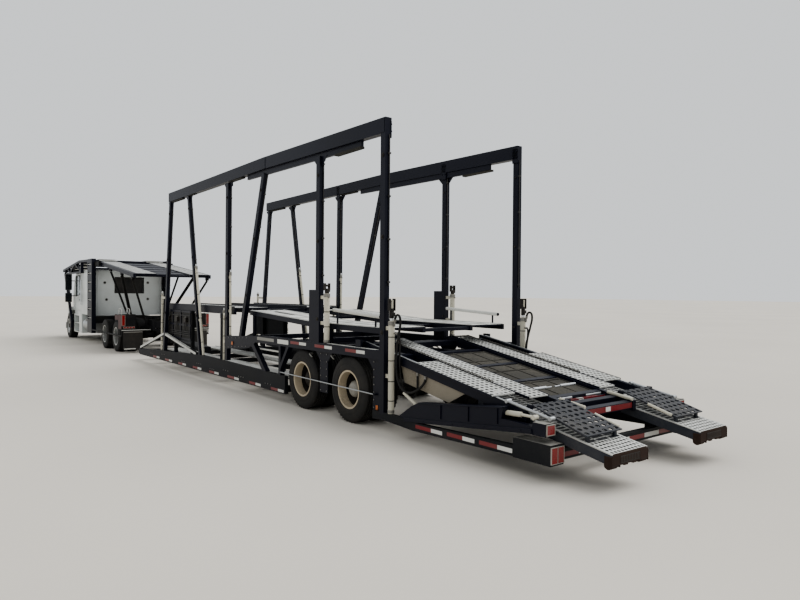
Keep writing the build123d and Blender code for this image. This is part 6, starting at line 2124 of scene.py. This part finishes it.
@dataclass(frozen=True)
class DoorTrim:
    """Window rubbers, handles and pressed creases of both doors."""

    face: float = 1.15

    def pieces(self) -> dict[str, list[Piece]]:
        """The left door's trim by finish."""
        corners = ((18.94, 1.68), (19.71, 1.59), (19.71, 2.32), (19.64, 2.36), (18.94, 2.36))
        y = self.face
        rubber = [strut((x0, y - 0.004, z0), (x1, y - 0.004, z1), 0.014, 0.026, 0.003)
                for (x0, z0), (x1, z1) in zip(corners, corners[1:] + corners[:1])]
        handle = [slab((18.93, y - 0.001, 1.44), (19.09, y + 0.006, 1.5), 0.004),
                slab((18.95, y + 0.004, 1.455), (19.07, y + 0.02, 1.485), 0.005)]
        crease = [slab((18.88, y - 0.001, 1.3), (19.76, y + 0.003, 1.315), 0.001),
                slab((18.95, y - 0.001, 1.1), (19.7, y + 0.002, 1.25), 0.002)]
        return {"black_recess": rubber, "chrome_trim": handle, "white_paint": crease}

    def build(self, fitter: "Fitter") -> None:
        """Trim both doors.

        Args:
            fitter: fits each piece to its body.
        """
        names = {"black_recess": "rubbers", "chrome_trim": "handle", "white_paint": "creases"}
        for finish, parts in self.pieces().items():
            fitter.twins(parts, "door", names[finish], finish)


@dataclass(frozen=True)
class TractorSides:
    """Mirror glasses, rack rungs, tank straps, steps and chassis parts of the tractor."""

    mirror_x: float = 19.83
    tank: Spot = (0.89, 0.61)
    rung_heights: tuple[float, ...] = (0.9, 1.2, 1.5, 1.8, 2.1, 2.4, 2.7)

    def mirror_glass(self) -> list[Piece]:
        """The two silvered glasses on a mirror head's rear face."""
        x = self.mirror_x
        return [slab((x - 0.004, 1.277, 1.85), (x + 0.001, 1.465, 2.41), 0.002),
                slab((x - 0.004, 1.277, 1.4), (x + 0.001, 1.465, 1.7), 0.002)]

    def rungs(self) -> list[Piece]:
        """Rungs across the windows of the rack's posts."""
        return [tube((16.545, 1.276, z), (17.005, 1.276, z), 0.013, 14) for z in self.rung_heights]

    def tank_trim(self) -> tuple[list[Piece], list[Piece]]:
        """Straps, end beads and filler cap of the left tank, and the steps on it."""
        bright = [tube((x, *self.tank), (x + 0.045, *self.tank), 0.2785, 56, 0.001) for x in (17.32, 18.22)]
        bright += [tube((x, *self.tank), (x + 0.01, *self.tank), 0.277, 56, 0.002) for x in (17.152, 18.418)]
        bright.append(tube((17.62, 1.03, 0.83), (17.62, 1.07, 0.885), 0.052, 24, 0.004))
        treads = [slab((17.45, 1.12, z), (18.1, 1.172, z + 0.012), 0.002) for z in (0.52, 0.78)]
        treads += [slab((x, 1.085, 0.52), (x + 0.02, 1.15, 0.8), 0.002) for x in (17.5, 18.03)]
        return bright, treads

    def step_treads(self) -> list[Piece]:
        """Punched treads in the cab's steps."""
        treads = []
        for z in (0.31, 0.64):
            sheet = punched(0.75, 0.27, 16, 6, 0.022, 0.003)
            treads.append(laid(sheet, (18.975, 0.885, z + 0.0035), 0.0))
        return treads

    def chassis(self) -> list[Piece]:
        """Air tanks, prop shaft, air springs, brake chambers and leaf springs under the tractor."""
        parts = [tube((15.65, y, 0.62), (16.35, y, 0.62), 0.115, 28, 0.02) for y in (0.25, -0.25)]
        parts.append(tube((15.25, 0.0, 0.56), (19.55, 0.0, 0.68), 0.048, 24, 0.004))
        parts += [tube((x, 0.0, z), (x + 0.12, 0.0, z + 0.003), 0.075, 20, 0.008)
                for x, z in ((15.24, 0.56), (19.44, 0.677))]
        for x in (14.97, 13.6):
            parts += [tube((x - 0.22, y, 0.535), (x - 0.22, y, 0.699), 0.12, 26, 0.02)
                    for y in (0.42, -0.42)]
            parts += [tube((x + 0.12, y, 0.5), (x + 0.3, y, 0.53), 0.08, 22, 0.01) for y in (0.3, -0.3)]
        for y in (0.42, -0.42):
            for index in range(4):
                half = 0.72 - 0.14 * index
                z = 0.56 + 0.014 * index
                parts.append(slab((20.62 - half, y - 0.038, z), (20.62 + half, y + 0.038, z + 0.012), 0.002))
        return parts

    def build(self, fitter: "Fitter") -> None:
        """Fit both sides.

        Args:
            fitter: fits each piece to its body.
        """
        bright, treads = self.tank_trim()
        tractor = Body.TRACTOR
        fitter.pair(self.mirror_glass(), "mirrors.glass", tractor, "mirror_silver")
        fitter.pair(self.rungs(), "rack.rungs", tractor, "pale_tube")
        fitter.pair(bright, "tanks.straps", tractor, "chrome_trim")
        fitter.pair([*treads, *self.step_treads()], "tanks.steps", tractor, "tread_plate", smooth=0.4)
        fitter.fit(self.chassis(), "tractor.running_gear", tractor, "chassis")


@dataclass(frozen=True)
class TractorTail:
    """Lamp rims, bars, handrails, flap strips and side panels at the tractor's rear corners."""

    x: float = 12.7

    def build(self, fitter: "Fitter") -> None:
        """Fit the tail's parts on both sides.

        Args:
            fitter: fits each piece to its body.
        """
        x = self.x
        end = TailEnd()
        rims = end.frame_round(x - 0.012, 1.195, 1.275, 0.81, 1.11, 0.008)
        for y in (0.93, 1.01, 1.09, 1.17):
            rims += end.frame_round(x - 0.012, y, y + 0.06, 0.735, 0.775, 0.006)
        ribs = [end.lens_ribs(x - 0.012, 1.195, 1.275, 0.81, 1.11, 16)]
        bar = [slab((x - 0.01, 0.47, 0.668), (x, 1.285, 0.686), 0.002),
               slab((x + 0.01, 0.89, 0.118), (x + 0.0155, 1.21, 0.15), 0.002)]
        bends = ((13.06, 1.128), (13.06, 1.26), (13.01, 1.285), (12.8, 1.285), (12.75, 1.26), (12.75, 1.128))
        rails = [pipe([(along, y, z) for along, z in bends], 0.009, 3) for y in (1.268, 1.05)]
        flap_strip = [slab((x + 0.01, 0.7, 0.6), (x + 0.0155, 1.225, 0.636), 0.002)]
        heads = [tube((x + 0.004, y, 0.618), (x + 0.012, y, 0.618), 0.01, 6, 0.001)
                for y in (0.75, 0.86, 0.97, 1.08, 1.19)]
        panel = [slab((12.715, 1.2845, 0.71), (13.065, 1.2865, 1.115), 0.001),
                slab((13.095, 1.2845, 0.965), (13.435, 1.2865, 1.105), 0.001)]
        for parts, name, finish in (
                (rims, "lens_rims", "lamp_rim"),
                (ribs, "lens_ribs", "red_lens"),
                (bar, "bars", "pale_tube"),
                (rails, "handrails", "pale_tube"),
                ([*flap_strip, *heads], "flap_strips", "nut_steel"),
                (panel, "side_panels", "oxblood_paint")):
            fitter.pair(parts, f"tractor_tail.{name}", Body.TRACTOR, finish)


@dataclass(frozen=True)
class UpperLanes:
    """Punched skins and cross ribs on the rack's and the tractor deck's lanes."""

    lane_y: float = 0.49
    hole: float = 0.036
    sheet: float = 0.003

    def build(self, fitter: "Fitter") -> None:
        """Lay skins on both decks.

        Args:
            fitter: fits each piece to its body.
        """
        cover = []
        for low, high, z0, z1 in ((16.5, 18.6, 2.871, 2.871), (18.62, 21.5, 2.87, 2.625)):
            sheet = punched(math.dist((low, z0), (high, z1)), 0.55, 26, 8, self.hole, self.sheet)
            cover.append(laid(sheet, (low, self.lane_y, z0 + 0.004 + 0.0005), (z1 - z0) / (high - low)))
        fitter.pair(cover, "rack.skins", Body.TRACTOR, "pale_deck", smooth=0.4)
        slope = (2.774 - 2.295) / (16.24 - 12.13)
        sheet = punched(math.dist((12.15, 0), (16.2, slope * 4.05)), 0.54, 50, 8, self.hole, self.sheet)
        lanes = [laid(sheet, (12.15, self.lane_y, 2.2995 + 0.0165), slope)]
        ribs = []
        for index in range(6):
            x = 12.35 + index * 0.68
            z = 2.275 + (x - 12.19) * (2.71 - 2.275) / (15.65 - 12.19) + 0.016
            ribs.append(strut((x, -0.475, z), (x, 0.475, z), 0.03, 0.012, 0.0015))
        fitter.pair(lanes, "tractor_deck.skins", Body.TRACTOR_DECK, "pale_deck", smooth=0.4)
        fitter.fit(ribs, "tractor_deck.ribs", Body.TRACTOR_DECK, "navy_paint")


@dataclass(frozen=True)
class Nose:
    """Grille surround, bumper vents, fog lamps and wipers."""

    grille_x: float = 21.45

    def build(self, fitter: "Fitter") -> None:
        """Fit the nose's parts.

        Args:
            fitter: fits each piece to its body.
        """
        back, front = self.grille_x - 0.012, self.grille_x + 0.012
        bars = ((-0.66, 1.22, 0.66, 1.252), (-0.66, 0.768, 0.66, 0.8), (-0.66, 0.79, -0.62, 1.23),
                (0.62, 0.79, 0.66, 1.23))
        trim = [slab((back, y0, z0), (front, y1, z1), 0.006) for y0, z0, y1, z1 in bars]
        fitter.fit(trim, "grille.surround", Body.HOOD, "chrome_trim")
        # painted shade: flat black sheets on the bumper for the vents' openings
        holes = [slab((21.5405, y, 0.4), (21.543, y + 0.42, 0.5), 0.004) for y in (-0.98, -0.5, 0.08, 0.56)]
        fitter.fit(holes, "bumper.vents", Body.TRACTOR, "black_recess")
        fogs = [tube((21.536, y, 0.365), (21.547, y, 0.365), 0.026, 24, 0.003) for y in (-0.85, 0.85)]
        fitter.fit(fogs, "bumper.fog_lamps", Body.TRACTOR, "clear_lens")
        wipers = []
        for y in (0.15, 0.85):
            wipers.append(strut((20.205, y, 1.705), (20.065, y - 0.42, 2.02), 0.014, 0.012, 0.002))
            wipers.append(strut((20.115, y - 0.62, 1.915), (20.055, y - 0.22, 2.05), 0.01, 0.014, 0.002))
        fitter.fit(wipers, "cab.wipers", Body.TRACTOR, "black_recess")


# Cab inside


@dataclass(frozen=True)
class Cushions:
    """Two seats, a mattress and the trim round them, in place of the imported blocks."""

    floor: float = 1.02

    def crowned(self, low: Point, high: Point, crown: float, edge: float) -> Piece:
        """A stuffed block with rounded edges whose top and front swell outwards.

        Args:
            low: lowest corner.
            high: highest corner.
            crown: how far its middle stands out.
            edge: radius of its edges.

        Returns:
            The block.
        """
        inner_low = tuple(value + crown for value in low)
        inner_high = tuple(value - crown for value in high)
        piece = slab(inner_low, inner_high, 0.0)
        with editing(piece):
            bpy.ops.mesh.bevel(offset=edge, segments=4)
            bpy.ops.mesh.select_all(action="SELECT")
            bpy.ops.mesh.subdivide(number_cuts=5)
        for axis in range(3):
            for way in (-1, 1):
                self.swell(piece, axis, way, crown)
        return piece

    def swell(self, piece: Piece, axis: int, way: int, crown: float) -> None:
        """Pull the middle of one side outwards, with its surroundings following smoothly.

        Args:
            piece: the block.
            axis: 0, 1 or 2 for x, y or z.
            way: 1 or -1 along that axis.
            crown: how far the middle moves.
        """
        spots = [vertex.co for vertex in piece.data.vertices]
        low = [min(spot[i] for spot in spots) for i in range(3)]
        high = [max(spot[i] for spot in spots) for i in range(3)]
        middle = [(a + b) / 2 for a, b in zip(low, high)]
        middle[axis] = high[axis] if way > 0 else low[axis]
        others = [high[i] - low[i] for i in range(3) if i != axis]
        nearest = min(piece.data.vertices, key=lambda vertex: math.dist(vertex.co, middle))
        for item in (*piece.data.vertices, *piece.data.edges, *piece.data.polygons):
            item.select = False
        nearest.select = True
        move = [0.0, 0.0, 0.0]
        move[axis] = way * crown
        # reaches about half way to the nearer edges
        reach = 0.55 * min(others) + 0.2 * max(others)
        with editing(piece, None):
            bpy.ops.transform.translate(
                value=move, use_proportional_edit=True, proportional_edit_falloff="SMOOTH",
                proportional_size=reach, use_proportional_connected=True)

    def seat(self, y: float) -> dict[str, list[Piece]]:
        """One air-sprung seat: cushions, headrest, armrest and its base.

        Args:
            y: its middle across the cab.

        Returns:
            Its soft and its hard pieces.
        """
        x, floor = 18.89, self.floor
        cushion = self.crowned((x + 0.05, y - 0.24, floor + 0.29),
                (x + 0.54, y + 0.24, floor + 0.425), 0.014, 0.035)
        back = self.crowned((x - 0.06, y - 0.23, floor + 0.405),
                (x + 0.06, y + 0.23, floor + 0.93), 0.014, 0.035)
        back.data.transform(Matrix.Translation((rig_x(x + 0.03), 0, floor + 0.4))
                @ Matrix.Rotation(math.radians(-7), 4, "Y")
                @ Matrix.Translation((-rig_x(x + 0.03), 0, -floor - 0.4)))
        rest = self.crowned((x - 0.105, y - 0.13, floor + 0.9),
                (x - 0.005, y + 0.13, floor + 1.08), 0.01, 0.028)
        shell = [slab((x + 0.06, y - 0.2, floor + 0.001), (x + 0.46, y + 0.2, floor + 0.03), 0.006),
                slab((x + 0.09, y - 0.17, floor + 0.03), (x + 0.43, y + 0.17, floor + 0.2), 0.012),
                slab((x + 0.04, y - 0.235, floor + 0.2), (x + 0.52, y + 0.235, floor + 0.285), 0.012)]
        arm = [slab((x + 0.02, side - 0.03, floor + 0.58), (x + 0.32, side + 0.03, floor + 0.63), 0.014)
               for side in (y - 0.265, y + 0.265)]
        return {"soft": [cushion, back, rest], "hard": shell + arm}

    def build(self, fitter: "Fitter") -> None:
        """Build both seats and the bunk.

        Args:
            fitter: fits each piece to its body.
        """
        hard = []
        first = True
        for name, y in (("left", 0.52), ("right", -0.52)):
            made = self.seat(y)
            hard += made["hard"]
            for part, piece in zip(("cushion", "back", "headrest"), made["soft"]):
                done = fitter.fit(piece, f"seat_{name}.{part}", Body.TRACTOR, "seat_cloth",
                        replaces=["seats"] if first else (), smooth=1.2)
                first = False
        fitter.fit(hard, "seats.frames", Body.TRACTOR, "cab_plastic")
        mattress = self.crowned((16.862, -1.088, 1.34), (17.658, 1.088, 1.478), 0.008, 0.03)
        fitter.fit(mattress, "bunk.mattress", Body.TRACTOR, "trim_cloth", smooth=1.2)
        pillow = self.crowned((16.9, 0.4, 1.48), (17.22, 0.98, 1.6), 0.035, 0.02)
        fitter.fit(pillow, "bunk.pillow", Body.TRACTOR, "pillow_cotton", smooth=1.2)
        shelf = [slab((16.862, -1.088, 1.3), (17.66, 1.088, 1.335), 0.003)]
        fitter.fit(shelf, "bunk.shelf", Body.TRACTOR, "cab_plastic")


@dataclass(frozen=True)
class DashTrim:
    """Dials, vents, pedals and lever in the cab."""

    dash_x: float = 19.75

    def build(self, fitter: "Fitter") -> None:
        """Fit the dash and the floor controls.

        Args:
            fitter: fits each piece to its body.
        """
        x = self.dash_x
        cowl = [slab((x - 0.035, 0.3, 1.56), (x + 0.11, 0.76, 1.69), 0.016)]
        dials = [tube((x - 0.041, y, 1.63), (x - 0.033, y, 1.63), 0.052, 26, 0.004)
                for y in (0.38, 0.53, 0.68)]
        vents = [slab((x - 0.01, y - 0.07, 1.535 + 0.02 * n), (x + 0.002, y + 0.07, 1.545 + 0.02 * n), 0.002)
                for y in (-0.95, -0.35, 0.1, 0.95) for n in range(3)]
        box = [slab((x - 0.006, -0.85, 1.465), (x + 0.002, -0.45, 1.525), 0.003)]
        fitter.fit(cowl, "dash.binnacle", Body.TRACTOR, "cab_plastic")
        fitter.fit(dials, "dash.dials", Body.TRACTOR, "clear_lens")
        fitter.fit([*vents, *box], "dash.vents", Body.TRACTOR, "black_recess")
        lever = [tube((19.42, 0.0, 1.022), (19.35, 0.02, 1.46), 0.012, 14),
                tube((19.352, 0.02, 1.45), (19.344, 0.022, 1.52), 0.027, 22, 0.009)]
        pedals = [slab((19.86, y, 1.12), (19.885, y + 0.07, 1.26), 0.004) for y in (0.36, 0.5, 0.64)]
        pedals += [tube((19.88, y + 0.035, 1.2), (20.02, y + 0.035, 1.4), 0.01, 12)
                for y in (0.36, 0.5, 0.64)]
        fitter.fit([*lever, *pedals], "cab.controls", Body.TRACTOR, "black_recess")


# Stage


@dataclass
class PhotoCamera:
    """The camera behind the trailer's left rear corner, at the photograph's viewing angle."""

    place: Point = (-6.4996, 6.0877, 1.8128)
    yaw: float = 0.6604
    pitch: float = -0.0113
    roll: float = 0.0073
    lens_mm: float = 28.417
    sensor_mm: float = 36.0

    def build(self) -> bpy.types.Object:
        """Create the camera and make it the scene's own."""
        data = bpy.data.cameras.new("photo_camera")
        data.lens = self.lens_mm
        data.sensor_width = self.sensor_mm
        data.sensor_fit = "HORIZONTAL"
        data.clip_start = 0.05
        data.clip_end = 400.0
        camera = bpy.data.objects.new("photo_camera", data)
        bpy.context.scene.collection.objects.link(camera)
        forward = Vector((math.cos(self.yaw) * math.cos(self.pitch),
                -math.sin(self.yaw) * math.cos(self.pitch), math.sin(self.pitch)))
        right = Vector((-math.sin(self.yaw), -math.cos(self.yaw), 0.0))
        up = right.cross(forward)
        tilted_right = right * math.cos(self.roll) + up * math.sin(self.roll)
        tilted_up = up * math.cos(self.roll) - right * math.sin(self.roll)
        turn = Matrix((tilted_right, tilted_up, -forward)).transposed().to_4x4()
        x, y, z = self.place
        camera.matrix_world = Matrix.Translation((rig_x(x), y, z)) @ turn
        bpy.context.scene.camera = camera
        return camera


@dataclass
class Studio:
    """A pale floor under soft light, as on an overcast day."""

    floor_size: float = 400.0
    sky: str = "e6e9eb"
    sky_strength: float = 0.95
    sun_energy: float = 1.6
    sun_width: float = 50.0
    ground: str = "cfc9bf"

    def build(self) -> None:
        """Lay the floor and light the scene."""
        clear()
        bpy.ops.mesh.primitive_plane_add(size=self.floor_size, location=(0.0, 0.0, 0.0))
        floor = bpy.context.object
        floor.name = "studio_floor"
        bench = MaterialBench("pale_floor")
        soft = bench.ramp(bench.noise(0.15, 3.0), 0.3, 0.7)
        bench.link(bench.mix(soft, colour(self.ground), colour("d6d0c6")), "Base Color")
        bench.fix(Roughness=0.9, Specular_IOR_Level=0.2)
        floor.data.materials.append(bench.material)
        world = bpy.data.worlds.new("overcast")
        world.use_nodes = True
        background = world.node_tree.nodes["Background"]
        background.inputs["Color"].default_value = colour(self.sky)
        background.inputs["Strength"].default_value = self.sky_strength
        bpy.context.scene.world = world
        bpy.context.scene.view_settings.look = "AgX - Medium High Contrast"
        bpy.ops.object.light_add(type="SUN", rotation=(math.radians(28), math.radians(-14), 0.0))
        sun = bpy.context.object
        sun.data.energy = self.sun_energy
        sun.data.angle = math.radians(self.sun_width)


def main() -> None:
    """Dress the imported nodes, build every piece and set the stage."""
    logging.basicConfig(level=logging.INFO, format="%(message)s")
    wardrobe = Wardrobe()
    wardrobe.dress_nodes()
    fitter = Fitter(wardrobe)
    build_wheels(fitter)
    deck = RearDeck()
    deck.build_strips(fitter)
    deck.build_flippers(fitter)
    deck.build_ramps(fitter)
    for assembly in (RearTrim, RampEnds, TailEnd, LiftCylinders, Hoses, MidDeck, FrontDeck, SideMarks,
            SideFittings, LowFittings, FrontBay, Uppers, SleeperBack, DoorTrim, TractorSides, TractorTail,
            UpperLanes, Nose, Cushions, DashTrim):
        assembly().build(fitter)
    Studio().build()
    PhotoCamera().build()


if __name__ == "__main__":
    main()
